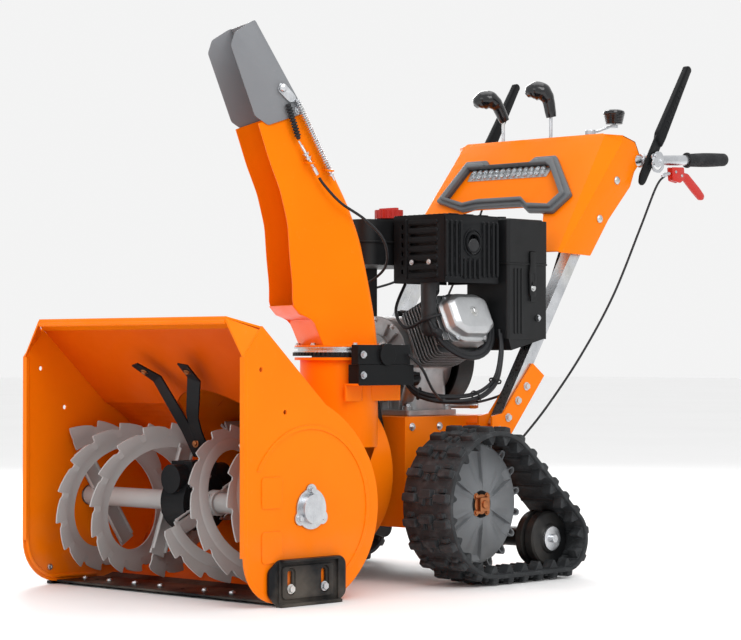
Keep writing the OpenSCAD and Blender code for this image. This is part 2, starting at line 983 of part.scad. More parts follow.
module lamp_frame() {
    color("#55585b")
        on_dash(3.2)
            difference() {
                linear_extrude(18)
                    lamp_outline(0);
                translate([0, 0, -1])
                    linear_extrude(40)
                        polygon([[-180, 172], [-154, 262], [92, 262], [112, 250], [184, 164],
                            [164, 134], [98, 140], [70, 160], [-66, 160], [-112, 152]]);
            }
}

module lamp_strip() {
    color("#dfe6ee")
        on_dash(3.4)
            for (i = [0:13])
                translate([-140 + 17 * i, 248, 0]) {
                    translate([-7.5, -12, 0])
                        cube([15, 24, 5]);
                    translate([0, 5, 4])
                        cylinder(r = 5, h = 3);
                    translate([0, -6, 4])
                        cylinder(r = 5, h = 3);
                }
}

module hand_grips() {
    color("#2b2c2e")
        mirrored()
            translate(on_bar(0.66))
                rotate([0, bar_tilt, bar_turn])
                    difference() {
                        rotate_extrude()
                            polygon([[0, 0], [17, 0], [17, 4], [15.5, 6], [15, 60], [16.5, 110],
                                [15, bar_len * 0.34 - 2], [12, bar_len * 0.34 + 1],
                                [0, bar_len * 0.34 + 2]]);
                        translate([0, 0, -1])
                            cylinder(r = 12.6, h = bar_len * 0.34 + 1.2);
                    }
    // clamps that carry the levers
    color(zinc)
        mirrored() {
            difference() {
                union() {
                    translate(on_bar(0.265))
                        rotate([0, bar_tilt, bar_turn])
                            cylinder(r = 16, h = 26);
                    rod_x(258, 270.5, lever_y, lever_z, 9);
                }
                translate(bar_start)
                    rotate([0, bar_tilt, bar_turn])
                        cylinder(r = 12.6, h = bar_len);
            }
            rod_x(270, 283, lever_y, lever_z, 5.6);
            rod_x(280.5, 284, lever_y, lever_z, 9);
        }
    // trigger housings under the handle tubes
    color("#c4281c")
        mirrored() {
            translate([trigger_x, 0, 0])
                difference() {
                    along_x(-8, 8)
                        polygon([[646, 955], [694, 957], [697, 930], [680, 918], [650, 922]]);
                    along_x(-4.5, 4.5)
                        polygon([[674, 960], [720, 962], [720, 900], [670, 900], [670, 925]]);
                    }
            translate([trigger_x, 0, 0])
                rod_x(-7.5, 7.5, 684, 936, 2.9);
        }
}

lever_y = 575;
lever_z = 975;
trigger_x = 278;

// Long hand lever with a boxed black pad, and its short arm below the pivot
module hand_lever() {
    translate([0, lever_y, lever_z])
        rotate([57, 0, 0])
            difference() {
                union() {
                    translate([273, -80, -13])
                        cube([6, 130, 26]);
                    translate([267, 46, -11])
                        cube([17, 218, 22]);
                    translate([267, 264, 0])
                        rotate([0, 90, 0])
                            cylinder(r = 11, h = 17);
                }
                rod_x(255, 290, 0, 0, 5.9);
                translate([270.5, 66, -20])
                    cube([10, 150, 26]);
            }
}

module drive_lever() {
    color(dark)
        hand_lever();
}

module auger_lever() {
    color(dark)
        mirror([1, 0, 0])
            hand_lever();
}

module steering_trigger() {
    translate([trigger_x, 0, 0])
        difference() {
            union() {
                along_x(-4, 4)
                    polygon([[682, 929], [697, 929], [736, 900], [766, 880], [780, 882],
                        [784, 893], [764, 910], [716, 943], [682, 943]]);
                rod_x(-4, 4, 684, 936, 8);
            }
            rod_x(-20, 20, 684, 936, 3.2);
        }
}

module steering_trigger_left() {
    color("#d02a1c")
        steering_trigger();
}

module steering_trigger_right() {
    color("#d02a1c")
        mirror([1, 0, 0])
            steering_trigger();
}

// Stem with a bent pear-shaped knob, from its pivot below the dash top
module gear_stick(x, lean) {
    translate([x, 502, 940]) {
        difference() {
            rod_x(-12, 12, 0, 0, 8);
            rod_x(-20, 20, 0, 0, 3.2);
        }
        translate([0, 0, 6])
            cylinder(r = 4.5, h = 139);
        translate([0, 0, 142])
            rotate([lean, 0, -15]) {
                cylinder(r1 = 10, r2 = 13, h = 34, $fn = 40);
                translate([0, 0, 40])
                    sphere(r = 19);
                translate([-9, -8, 38])
                    sphere(r = 16);
            }
    }
}

module shift_lever() {
    color(dark)
        gear_stick(-130, 30);
}

module deflector_lever() {
    color(dark)
        gear_stick(24, 12);
}

module chute_crank() {
    color(zinc)
        translate([150, 500, 0]) {
            translate([0, 0, 985])
                cylinder(r = 8, h = 52);
            translate([0, 0, 1030])
                cylinder(r = 13, h = 8);
            along_x(-7, 7)
                polygon([[0, 1032], [10, 1038], [76, 1056], [98, 1056], [98, 1062], [74, 1062],
                    [8, 1044], [0, 1040]]);
            translate([0, 92, 1056])
                cylinder(r = 5, h = 22);
        }
}

module crank_knob() {
    color(dark)
        translate([150, 592, 1063])
            difference() {
                union() {
                    translate([0, 0, 1])
                        cylinder(r1 = 17, r2 = 22, h = 22);
                    translate([0, 0, 22.9])
                        cylinder(r1 = 22, r2 = 17, h = 7);
                }
                translate([0, 0, -1])
                    cylinder(r = 5.4, h = 18);
            }
}

// Chute

chute_line = [[-66, 520], [-59, 579], [-43, 665], [-22, 756], [6, 827], [50, 912], [112, 1028]];
chute_front = [[215, 990], [190, 913], [165, 850], [148, 780], [143, 708], [137, 652],
    [137, 605], [121, 586], [90, 575], [66, 520]];
cap_line = [[117, 1032], [223, 1210], [270, 1180], [277, 1153], [223, 1006], [193, 987],
    [117, 1014]];
hinge_u = 124;
hinge_z = 1022;

// Turns a child drawn with u forwards of the chute axis and z up
module in_chute() {
    translate([chute_x, chute_y, 0])
        rotate([0, 0, chute_yaw])
            children();
}

module across(x0, x1) {
    mirror([0, 1, 0])
        along_x(x0, x1)
            children();
}

function shift_u(p, d) = [for (q = p) [q[0] + d, q[1]]];

module chute() {
    h = chute_w / 2;
    color(orange)
        in_chute() {
            difference() {
                across(-h, h)
                    polygon(concat(chute_line, chute_front));
                across(3 - h, h - 3)
                    polygon(concat(shift_u(chute_line, 3), [[300, 1100], [300, 610], [134, 606],
                        [119, 590], [87, 578], [60, 500]]));
                across(3 - h, h - 3)
                    polygon([[137 - 3, 605], [300, 605], [300, 1100], [150, 1100]]);
                across(-h - 5, h + 5)
                    translate([hinge_u, hinge_z])
                        circle(r = 5);
            }
            translate([0, 0, 516])
                difference() {
                    cylinder(r = 97, h = 4);
                    translate([0, 0, -1])
                        cylinder(r = 66, h = 8);
                }
        }
}

module chute_ring() {
    color("#2a2b2d")
        in_chute()
            difference() {
                union() {
                    cylinder_at(ring_z, 8, ring_r - 4);
                    for (a = [0:6:354])
                        rotate(a)
                            translate([ring_r - 5, -2.6, ring_z])
                                cube([6, 5.2, 8]);
                }
                cylinder_at(ring_z - 5, 30, neck_r - 3);
            }
    color(zinc)
        in_chute() {
            difference() {
                cylinder_at(ring_z + 8, 11, ring_r - 2);
                cylinder_at(ring_z, 30, neck_r - 3);
                translate([0, 0, ring_z + 11])
                    rotate_extrude()
                        translate([ring_r - 10, 0])
                            square([20, 5]);
            }
            for (a = [0:60:300])
                rotate(a)
                    translate([90, 0, 520.1])
                        bolt_head(5);
        }
}

module cylinder_at(z, h, r) {
    translate([0, 0, z])
        cylinder(r = r, h = h);
}

module deflector() {
    h = chute_w / 2 + 0.8;
    color("#7d8084")
        in_chute() {
            difference() {
                across(-h - 2.5, h + 2.5)
                    polygon(cap_line);
                across(-h, h)
                    polygon([[120.5, 1032], [238, 1230], [340, 1230], [340, 900], [100, 900],
                        [100, 1031]]);
                across(-h - 10, h + 10)
                    translate([hinge_u, hinge_z])
                        circle(r = 5);
            }
            // hinge pin through chute and cap, and the arm for the cable and spring
            across(-h - 6, h + 6)
                translate([hinge_u, hinge_z])
                    circle(r = 4.6);
            across(h + 2.4, h + 14)
                translate([161, 1067])
                    circle(r = 6);
            across(h + 2.4, h + 5)
                polygon([[150, 1074], [168, 1080], [176, 1062], [146, 1036], [136, 1048]]);
        }
}

// Long spring on its rod, with the cable's corrugated boot and adjuster beside it
link_x = chute_w / 2 + 12;

module deflector_linkage() {
    color(zinc)
        in_chute() {
            difference() {
                along_link([132, 1044], [45, 872]) {
                    cylinder(r = 2.6, h = 193);
                    difference() {
                        translate([0, 0, 12])
                            cylinder(r = 7, h = 159);
                        translate([0, 0, 11])
                            cylinder(r = 5.4, h = 161);
                    }
                }
                hinge_clearance();
            }
            link_tab([53, 888]);
            link_tab([100, 915]);
            along_link([124, 950], [84, 884])
                cylinder(r = 5, h = 78);
        }
    color("#1d1e20")
        in_chute()
            difference() {
                along_link([150, 1030], [125, 952]) {
                    cylinder(r = 4, h = 81);
                    for (i = [0:8])
                        translate([0, 0, 6 + 8 * i])
                            cylinder(r = 7.5, h = 4.4);
                }
                hinge_clearance();
            }
}

// Room beside the chute wall for the end of the deflector's hinge pin
module hinge_clearance() {
    across(0, chute_w / 2 + 7)
        translate([hinge_u, hinge_z])
            circle(r = 5);
}

// Children drawn along +Z run from point a towards point b beside the chute's near wall
module along_link(a, b) {
    translate([link_x, -a[0], a[1]])
        rotate([180 + atan2(a[0] - b[0], a[1] - b[1]), 0, 0])
            children();
}

module link_tab(p) {
    translate([chute_w / 2 + 0.1, -p[0] - 10, p[1] - 2])
        cube([23, 20, 4]);
}

module chute_drive_case() {
    color(dark) {
        translate([210, -387, 479])
            cube([20, 162, 42]);
        translate([222, -300, 500])
            rotate([0, 90, 0])
                cylinder(r = 24, h = 14);
    }
    color(orange) {
        difference() {
            union() {
                translate([188, -386, 434])
                    cube([44, 170, 4]);
                translate([228, -386, 434])
                    cube([4, 170, 44]);
                translate([188, -386, 400])
                    cube([4, 170, 36]);
            }
            rod_y(-600, 0, 0, impeller_z, drum_r + 0.1);
            translate([chute_x, chute_y, 300])
                cylinder(r = neck_r + 0.1, h = 150);
        }
        translate([194, -380, 438])
            cube([34, 158, 40.8]);
    }
    color(zinc)
        for (z = [456, 500])
            translate([232.1, -374, z])
                rotate([0, 90, 0])
                    bolt_head(6);
}

// Cables

drive_cable = [[278, 641, 939], [277, 628, 933], [272, 600, 905], [268, 540, 800],
    [266, 440, 640], [258, 330, 500], [240, 226, 380], [212, 160, 300]];
chute_cable = [[234, -236, 500], [246, -205, 470], [230, -150, 420], [190, -60, 394],
    [185, 60, 394], [196, 170, 430], [202, 238, 520], [204, 272, 640], [200, 350, 800],
    [180, 430, 925], [152, 478, 975]];

deflect_cable = [[154, -429, 878], [162, -416, 858], [178, -385, 824], [196, -330, 790],
    [200, -275, 745], [150, -222, 690], [60, -212, 650], [-60, -205, 640], [-180, -190, 640],
    [-236, -120, 640], [-240, 0, 640], [-232, 110, 655], [-202, 220, 690], [-195, 300, 760],
    [-150, 380, 850], [-60, 450, 910], [24, 488, 930]];

module deflector_cable() {
    color("#1d1e20")
        tube_along(smooth(deflect_cable, 4), 3);
}

module control_cables() {
    color("#1d1e20") {
        tube_along(smooth(drive_cable, 5), 3);
        mirror([1, 0, 0])
            tube_along(smooth(drive_cable, 5), 3);
        tube_along(smooth(chute_cable, 6), 3.2);
    }
}

// Tracks

belt_x0 = track_outer_x - track_w;
loop_ca = [sprocket_y, sprocket_z];
loop_cb = [idler_y, idler_z];
loop_d = norm(loop_cb - loop_ca);
loop_p = atan2(loop_cb[1] - loop_ca[1], loop_cb[0] - loop_ca[0]);
loop_b = acos((track_r1 - track_r2) / loop_d);
arc1_len = track_r1 * (360 - 2 * loop_b) * PI / 180;
arc2_len = track_r2 * 2 * loop_b * PI / 180;
side_len = loop_d * sin(loop_b);
loop_len = arc1_len + arc2_len + 2 * side_len;

// Place and outward direction at distance s along the belt's inside: [y, z, angle]
function belt_at(s) =
    s < arc1_len ?
        let(a = loop_p + loop_b + s / track_r1 * 180 / PI)
        [loop_ca[0] + track_r1 * cos(a), loop_ca[1] + track_r1 * sin(a), a]
    : s < arc1_len + side_len ?
        let(a = loop_p - loop_b, t = (s - arc1_len) / side_len,
            p = loop_ca + track_r1 * [cos(a), sin(a)], q = loop_cb + track_r2 * [cos(a), sin(a)])
        [p[0] + (q[0] - p[0]) * t, p[1] + (q[1] - p[1]) * t, a]
    : s < arc1_len + side_len + arc2_len ?
        let(a = loop_p - loop_b + (s - arc1_len - side_len) / track_r2 * 180 / PI)
        [loop_cb[0] + track_r2 * cos(a), loop_cb[1] + track_r2 * sin(a), a]
    :
        let(a = loop_p + loop_b, t = (s - arc1_len - side_len - arc2_len) / side_len,
            q = loop_ca + track_r1 * [cos(a), sin(a)], p = loop_cb + track_r2 * [cos(a), sin(a)])
        [p[0] + (q[0] - p[0]) * t, p[1] + (q[1] - p[1]) * t, a];

module at_belt(s) {
    p = belt_at(s);
    translate([0, p[0], p[1]])
        rotate([p[2] - 90, 0, 0])
            children();
}

module track() {
    along_x(belt_x0, track_outer_x)
        difference() {
            polygon(loop_line(loop_ca, track_r1, loop_cb, track_r2, belt_t, 48));
            polygon(loop_line(loop_ca, track_r1, loop_cb, track_r2, 0, 48));
        }
    for (i = [0:lugs - 1])
        at_belt((i + 0.5) * loop_len / lugs) {
            for (k = [0:2])
                translate([belt_x0 + k * track_w / 3 + 3, -12 + (k % 2) * 6, belt_t - 2])
                    cube([track_w / 3 - 4, 20, lug_h + 2]);
            // guide wedge on the inside, at the outer edge
            translate([track_outer_x - 34, 0, 1])
                rotate([90, 0, 90])
                    linear_extrude(26)
                        polygon([[-14, 1], [0, -20], [14, 1]]);
        }
}

module track_left() {
    color("#3b3d3f")
        track();
}

module track_right() {
    color("#3b3d3f")
        mirror([1, 0, 0])
            track();
}

teeth = 18;

module sprocket() {
    difference() {
        union() {
            rod_x(20, 336, sprocket_y, sprocket_z, 12.5);
            // dished disc
            translate([0, sprocket_y, sprocket_z])
                rotate([0, 90, 0])
                    rotate_extrude($fn = 96)
                        polygon([[0, 296], [60, 296], [120, 286], [134, 286], [134, 316],
                            [128, 318], [110, 322], [60, 330], [44, 336], [0, 336]]);
            for (a = [0:360 / teeth:359])
                translate([0, sprocket_y, sprocket_z])
                    rotate([a, 0, 0])
                        translate([296, -9, 128])
                            cube([18, 18, 18]);
            rod_x(192, 300, sprocket_y, sprocket_z, 24);
        }
        for (a = [0:60:300])
            translate([0, sprocket_y, sprocket_z])
                rotate([a, 0, 0])
                    translate([318, -7, 52])
                        cube([20, 14, 62]);
    }
    for (a = [45:90:315])
        translate([335.5, sprocket_y + 24 * cos(a), sprocket_z + 24 * sin(a)])
            rotate([0, 90, 0])
                bolt_head(5);
    translate([335, sprocket_y - 11, sprocket_z - 11])
        cube([12, 22, 22]);
}

module sprocket_left() {
    color("#5b5e61")
        sprocket();
}

module sprocket_right() {
    color("#5b5e61")
        mirror([1, 0, 0])
            sprocket();
}

module idler() {
    color("#1e1f20")
        difference() {
            translate([0, idler_y, idler_z])
                rotate([0, 90, 0])
                    rotate_extrude($fn = 72)
                        polygon([[10, 264], [30, 264], [34, 276], [56, 276], [61, 280],
                            [61, 296], [50, 300], [50, 304], [61, 308], [61, 326], [57, 330],
                            [34, 330], [30, 334], [10, 334]]);
            rod_x(250, 350, idler_y, idler_z, 10);
        }
    color(zinc) {
        rod_x(334, 338, idler_y, idler_z, 27);
        rod_x(338, 346, idler_y, idler_z, 9);
    }
}

module idler_left() {
    idler();
}

module idler_right() {
    mirror([1, 0, 0])
        idler();
}

// Skid shoes

module skid_shoe() {
    color("#303234")
        difference() {
            union() {
                along_x(plate_x + 2.4, plate_x + 8)
                    shoe_outline();
                translate([plate_x + 2.4, front_y + 82, 0])
                    cube([20, 172, 6]);
                translate([plate_x + 2.4, front_y + 90, 88])
                    cube([18, 164, 5]);
            }
            for (y = [front_y + 118, front_y + 212]) {
                for (z = [34, 64])
                    rod_x(plate_x - 5, plate_x + 12, y, z, 6.4);
                translate([plate_x - 5, y - 6.4, 34])
                    cube([20, 12.8, 30]);
            }
        }
}

module skid_shoe_left() {
    skid_shoe();
}

module skid_shoe_right() {
    mirror([1, 0, 0])
        skid_shoe();
}

module shoe_outline() {
    polygon([[front_y + 60, 24], [front_y + 84, 0], [front_y + 256, 0], [front_y + 276, 16],
        [front_y + 276, 82], [front_y + 262, 93], [front_y + 88, 93], [front_y + 60, 72]]);
}

bucket_wrapper();
side_plate_left();
side_plate_right();
scraper_bar();
impeller_drum();
bearing_flanges();
auger_gearbox();
gearbox_brace();
skid_bolts();
auger_shaft();
auger_flights();
impeller();
impeller_shaft();
belt_cover();
drive_belts();
crank_pulley();
frame();
undercarriage();
crankcase();
cylinder_block();
rocker_cover();
exhaust();
muffler_shield();
air_box();
air_box_lid();
carburettor();
fuel_tank();
fuel_cap();
recoil_housing();
recoil_handle();
starter_motor();
handle_brackets();
handle_tubes();
dash_panel();
lamp_frame();
lamp_strip();
hand_grips();
drive_lever();
auger_lever();
steering_trigger_left();
steering_trigger_right();
shift_lever();
deflector_lever();
chute_crank();
crank_knob();
chute_drive_case();
chute();
chute_ring();
deflector();
deflector_linkage();
deflector_cable();
control_cables();
track_left();
track_right();
sprocket_left();
sprocket_right();
idler_left();
idler_right();
skid_shoe_left();
skid_shoe_right();
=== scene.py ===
# Two stage snowblower: looks, detailed pieces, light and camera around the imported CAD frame.
# Lengths in this file are millimetres in the row frame (+X left, +Y rearwards, +Z up) and are
# turned into metres by MM where they reach Blender.
import json
import math
import random

import bmesh
import bpy
from mathutils import Matrix, Vector

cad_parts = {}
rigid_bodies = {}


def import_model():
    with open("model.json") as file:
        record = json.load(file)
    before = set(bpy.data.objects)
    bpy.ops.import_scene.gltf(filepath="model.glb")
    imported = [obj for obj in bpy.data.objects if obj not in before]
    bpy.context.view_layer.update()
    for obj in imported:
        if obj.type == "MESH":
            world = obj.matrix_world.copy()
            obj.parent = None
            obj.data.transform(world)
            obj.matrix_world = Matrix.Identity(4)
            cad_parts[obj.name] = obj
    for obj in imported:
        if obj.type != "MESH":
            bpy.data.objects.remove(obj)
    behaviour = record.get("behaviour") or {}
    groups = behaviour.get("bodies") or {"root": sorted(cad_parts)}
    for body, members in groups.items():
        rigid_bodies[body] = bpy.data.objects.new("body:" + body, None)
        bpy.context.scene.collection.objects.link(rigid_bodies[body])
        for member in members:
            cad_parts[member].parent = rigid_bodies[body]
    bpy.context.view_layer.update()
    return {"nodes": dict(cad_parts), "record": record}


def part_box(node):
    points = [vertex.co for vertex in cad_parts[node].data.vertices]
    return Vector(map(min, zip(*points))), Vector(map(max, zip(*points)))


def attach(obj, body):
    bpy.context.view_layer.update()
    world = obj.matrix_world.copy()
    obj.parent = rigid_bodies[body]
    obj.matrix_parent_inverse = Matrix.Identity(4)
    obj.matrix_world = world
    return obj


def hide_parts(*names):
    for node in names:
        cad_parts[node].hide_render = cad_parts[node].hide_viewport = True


for default_object in list(bpy.data.objects):
    bpy.data.objects.remove(default_object)

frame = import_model()
MM = 0.001
random.seed(7)


# ---------------------------------------------------------------- camera

CAMERA_AZIMUTH = math.radians(44)
CAMERA_PITCH = math.radians(0.868)
CAMERA_PLACE = (3.7575, -4.0023, 0.497)


def make_camera():
    data = bpy.data.cameras.new("camera")
    data.lens = 115.43
    data.sensor_width = 36
    data.clip_end = 200
    camera = bpy.data.objects.new("camera", data)
    bpy.context.scene.collection.objects.link(camera)
    camera.location = CAMERA_PLACE
    camera.rotation_euler = (math.pi / 2 + CAMERA_PITCH, 0, CAMERA_AZIMUTH)
    bpy.context.scene.camera = camera


make_camera()


# ---------------------------------------------------------------- node materials

class Finish:
    """A procedural material being built; every socket argument may be a number or a node output."""

    def __init__(self, name):
        self.material = bpy.data.materials.new(name)
        self.material.use_nodes = True
        self.tree = self.material.node_tree
        self.tree.nodes.clear()
        self.shader = self.add("ShaderNodeBsdfPrincipled")
        output = self.add("ShaderNodeOutputMaterial")
        self.tree.links.new(self.shader.outputs[0], output.inputs[0])
        self.place = self.add("ShaderNodeTexCoord").outputs["Object"]

    def add(self, kind, inputs=None, **settings):
        node = self.tree.nodes.new(kind)
        for key, value in settings.items():
            setattr(node, key, value)
        for key, value in (inputs or {}).items():
            self.put(node.inputs[key], value)
        return node

    def put(self, socket, value):
        if isinstance(value, bpy.types.NodeSocket):
            self.tree.links.new(value, socket)
        else:
            socket.default_value = value

    def set(self, **values):
        for key, value in values.items():
            self.put(self.shader.inputs[key.replace("_", " ")], value)

    def noise(self, scale, detail=4, rough=0.55, stretch=None):
        place = self.place
        if stretch:
            place = self.add("ShaderNodeMapping", {"Vector": place, "Scale": stretch}).outputs[0]
        return self.add("ShaderNodeTexNoise", {"Vector": place, "Scale": scale,
                        "Detail": detail, "Roughness": rough}).outputs["Fac"]

    def cells(self, scale, feature="F1"):
        return self.add("ShaderNodeTexVoronoi", {"Vector": self.place, "Scale": scale},
                        feature=feature).outputs["Distance"]

    def span(self, value, low, high, to_low=0.0, to_high=1.0):
        return self.add("ShaderNodeMapRange", {"Value": value, "From Min": low,
                        "From Max": high, "To Min": to_low, "To Max": to_high}).outputs[0]

    def times(self, a, b):
        return self.add("ShaderNodeMath", {0: a, 1: b}, operation="MULTIPLY").outputs[0]

    def plus(self, a, b):
        return self.add("ShaderNodeMath", {0: a, 1: b}, operation="ADD").outputs[0]

    def blend(self, amount, a, b):
        node = self.add("ShaderNodeMix", data_type="RGBA")
        self.put(node.inputs[0], amount)
        self.put(node.inputs[6], a)
        self.put(node.inputs[7], b)
        return node.outputs[2]

    def edges(self, radius, low=0.02, high=0.25):
        """1 on outside and inside edges, 0 on open faces; it marks worn edges, and on castings a
        painted edge highlight.
        """
        soft = self.add("ShaderNodeBevel", {"Radius": radius}, samples=6).outputs[0]
        true = self.add("ShaderNodeNewGeometry").outputs["Normal"]
        dot = self.add("ShaderNodeVectorMath", {0: soft, 1: true}, operation="DOT_PRODUCT")
        return self.span(dot.outputs["Value"], 1 - low, 1 - high)

    def relief(self, height, distance, strength=1.0, round_edges=0.0):
        inputs = {"Height": height, "Distance": distance, "Strength": strength}
        if round_edges:
            inputs["Normal"] = self.add("ShaderNodeBevel", {"Radius": round_edges},
                                        samples=6).outputs[0]
        self.set(Normal=self.add("ShaderNodeBump", inputs).outputs[0])

    def dust(self, reach=0.16):
        """Rises towards the ground, broken up by noise."""
        height = self.add("ShaderNodeSeparateXYZ", {0: self.place}).outputs["Z"]
        return self.times(self.span(height, reach, 0.0), self.span(self.noise(9), 0.42, 0.7))


def rgb(text, gain=1.0):
    """Linear colour from a hexadecimal sRGB one."""
    parts = [int(text[i:i + 2], 16) / 255 for i in (0, 2, 4)]
    linear = [c / 12.92 if c <= 0.04045 else ((c + 0.055) / 1.055) ** 2.4 for c in parts]
    return (*(gain * c for c in linear), 1)


def paint(name, main, shade, worn, rough=0.34, coat=0.25, peel=900, wear=0.5, grime=0.25):
    """Powder coat: slow colour drift, orange peel, lighter worn edges, road dust low down."""
    f = Finish(name)
    colour = f.blend(f.span(f.noise(3.5), 0.35, 0.7), main, shade)
    scuffs = f.span(f.noise(70, 6, 0.7), 0.62, 0.76)
    edge = f.times(f.edges(0.0012), f.span(f.noise(160, 5), 0.5, 0.62))
    colour = f.blend(f.times(edge, wear), colour, worn)
    colour = f.blend(f.times(scuffs, 0.12), colour, worn)
    colour = f.blend(f.times(f.dust(), grime), colour, rgb("9a8f82"))
    f.set(Base_Color=colour)
    smear = f.span(f.noise(14, 5, 0.6), 0.35, 0.7, rough - 0.06, rough + 0.1)
    f.set(Roughness=f.plus(smear, f.times(scuffs, 0.12)))
    f.shader.inputs["Specular IOR Level"].default_value = 0.18
    f.shader.inputs["Specular Tint"].default_value = worn
    f.shader.inputs["Coat Weight"].default_value = coat
    f.shader.inputs["Coat Roughness"].default_value = 0.18
    f.relief(f.noise(peel, 2, 0.5), 0.00035, 0.35, 0.0009)
    return f.material


def plated(name, main, shade, tint, rough=0.28):
    """Zinc plate: bright grain, faint blue and yellow passivation, small scratches."""
    f = Finish(name)
    colour = f.blend(f.span(f.noise(22), 0.35, 0.7), main, shade)
    colour = f.blend(f.span(f.noise(9, 3), 0.52, 0.75, 0, 0.35), colour, tint)
    grain = f.noise(320, 3, 0.6, (1, 1, 0.15))
    f.set(Base_Color=colour, Metallic=1.0)
    f.set(Roughness=f.span(grain, 0.3, 0.7, rough - 0.06, rough + 0.14))
    f.relief(grain, 0.00012, 0.5, 0.0007)
    return f.material


def moulded(name, main, shade, rough=0.46, grain=1500, depth=0.00012, coat=0.0, scuff="6a6a6a"):
    """Injection moulded plastic with a leather-like grain and rubbed edges."""
    f = Finish(name)
    colour = f.blend(f.span(f.noise(5), 0.35, 0.7), main, shade)
    rubbed = f.times(f.edges(0.001), f.span(f.noise(90, 5), 0.45, 0.65))
    colour = f.blend(f.times(rubbed, 0.35), colour, rgb(scuff))
    colour = f.blend(f.times(f.dust(0.3), 0.2), colour, rgb("8d857b"))
    f.set(Base_Color=colour)
    f.set(Roughness=f.span(f.noise(30, 5), 0.3, 0.7, rough - 0.08, rough + 0.08))
    f.shader.inputs["Specular IOR Level"].default_value = 0.25
    f.shader.inputs["Coat Weight"].default_value = coat
    f.shader.inputs["Coat Roughness"].default_value = 0.12
    f.relief(f.cells(grain), depth, 0.5, 0.0009)
    return f.material


def rubber(name, main, shade, pale, rough=0.7, grain=700):
    """Moulded rubber: matte, with a pale bloom on its edges and a fine pebble."""
    f = Finish(name)
    colour = f.blend(f.span(f.noise(12, 6), 0.35, 0.7), main, shade)
    bloom = f.plus(f.times(f.edges(0.0022), 0.45), f.times(f.span(f.noise(40, 7, 0.7), 0.5, 0.8), 0.3))
    colour = f.blend(bloom, colour, pale)
    f.set(Base_Color=colour)
    f.set(Roughness=f.span(f.noise(60, 4), 0.3, 0.7, rough - 0.12, rough + 0.1))
    f.shader.inputs["Specular IOR Level"].default_value = 0.25
    f.relief(f.plus(f.noise(grain, 4), f.times(f.cells(grain * 1.6), 0.6)), 0.0006, 0.45, 0.0014)
    return f.material


def casting(name, main, shade, dark, rough=0.42, grain=650, metallic=0.85, rim_highlight=0.35):
    """Sand-cast or blasted aluminium with darker pockets and a painted highlight along its edges."""
    f = Finish(name)
    colour = f.blend(f.span(f.noise(16, 6), 0.3, 0.7), main, shade)
    pits = f.span(f.cells(240), 0.0, 0.25, 1, 0)
    colour = f.blend(f.times(pits, 0.35), colour, dark)
    # painted highlight: edges lightened towards e2e2e2 by rim_highlight
    colour = f.blend(f.times(f.edges(0.001), rim_highlight), colour, rgb("e2e2e2"))
    f.set(Base_Color=colour, Metallic=metallic)
    f.set(Roughness=f.span(f.noise(120, 5), 0.3, 0.7, rough - 0.08, rough + 0.12))
    f.relief(f.noise(grain, 5, 0.7), 0.0005, 0.45, 0.0012)
    return f.material


def lens_glass(name):
    """Moulded clear lamp lens with fine flutes."""
    f = Finish(name)
    f.set(Base_Color=f.blend(f.span(f.noise(60), 0.4, 0.6), rgb("f6fafc"), rgb("dfe8f0")))
    f.set(Roughness=f.span(f.noise(200), 0.3, 0.7, 0.03, 0.12))
    f.shader.inputs["Transmission Weight"].default_value = 0.75
    f.shader.inputs["IOR"].default_value = 1.47
    f.relief(f.cells(520), 0.0004, 0.5)
    return f.material


def heat_steel(name):
    """Pipe steel with straw and blue heat bands."""
    f = Finish(name)
    colour = f.blend(f.span(f.noise(14), 0.35, 0.65), rgb("4a443d"), rgb("6c5842"))
    colour = f.blend(f.span(f.noise(6), 0.55, 0.7), colour, rgb("4c4f5c"))
    f.set(Base_Color=colour, Metallic=0.9)
    f.set(Roughness=f.span(f.noise(90), 0.3, 0.7, 0.35, 0.6))
    f.relief(f.noise(300), 0.0002, 0.5, 0.001)
    return f.material


def floor_finish(name):
    """Pale sealed floor."""
    f = Finish(name)
    f.set(Base_Color=f.blend(f.span(f.noise(0.7), 0.3, 0.7), rgb("fafafa"), rgb("f7f7f7")))
    f.set(Roughness=f.span(f.noise(5, 5), 0.3, 0.7, 0.5, 0.62))
    f.relief(f.noise(140, 3), 0.0004, 0.15)
    return f.material


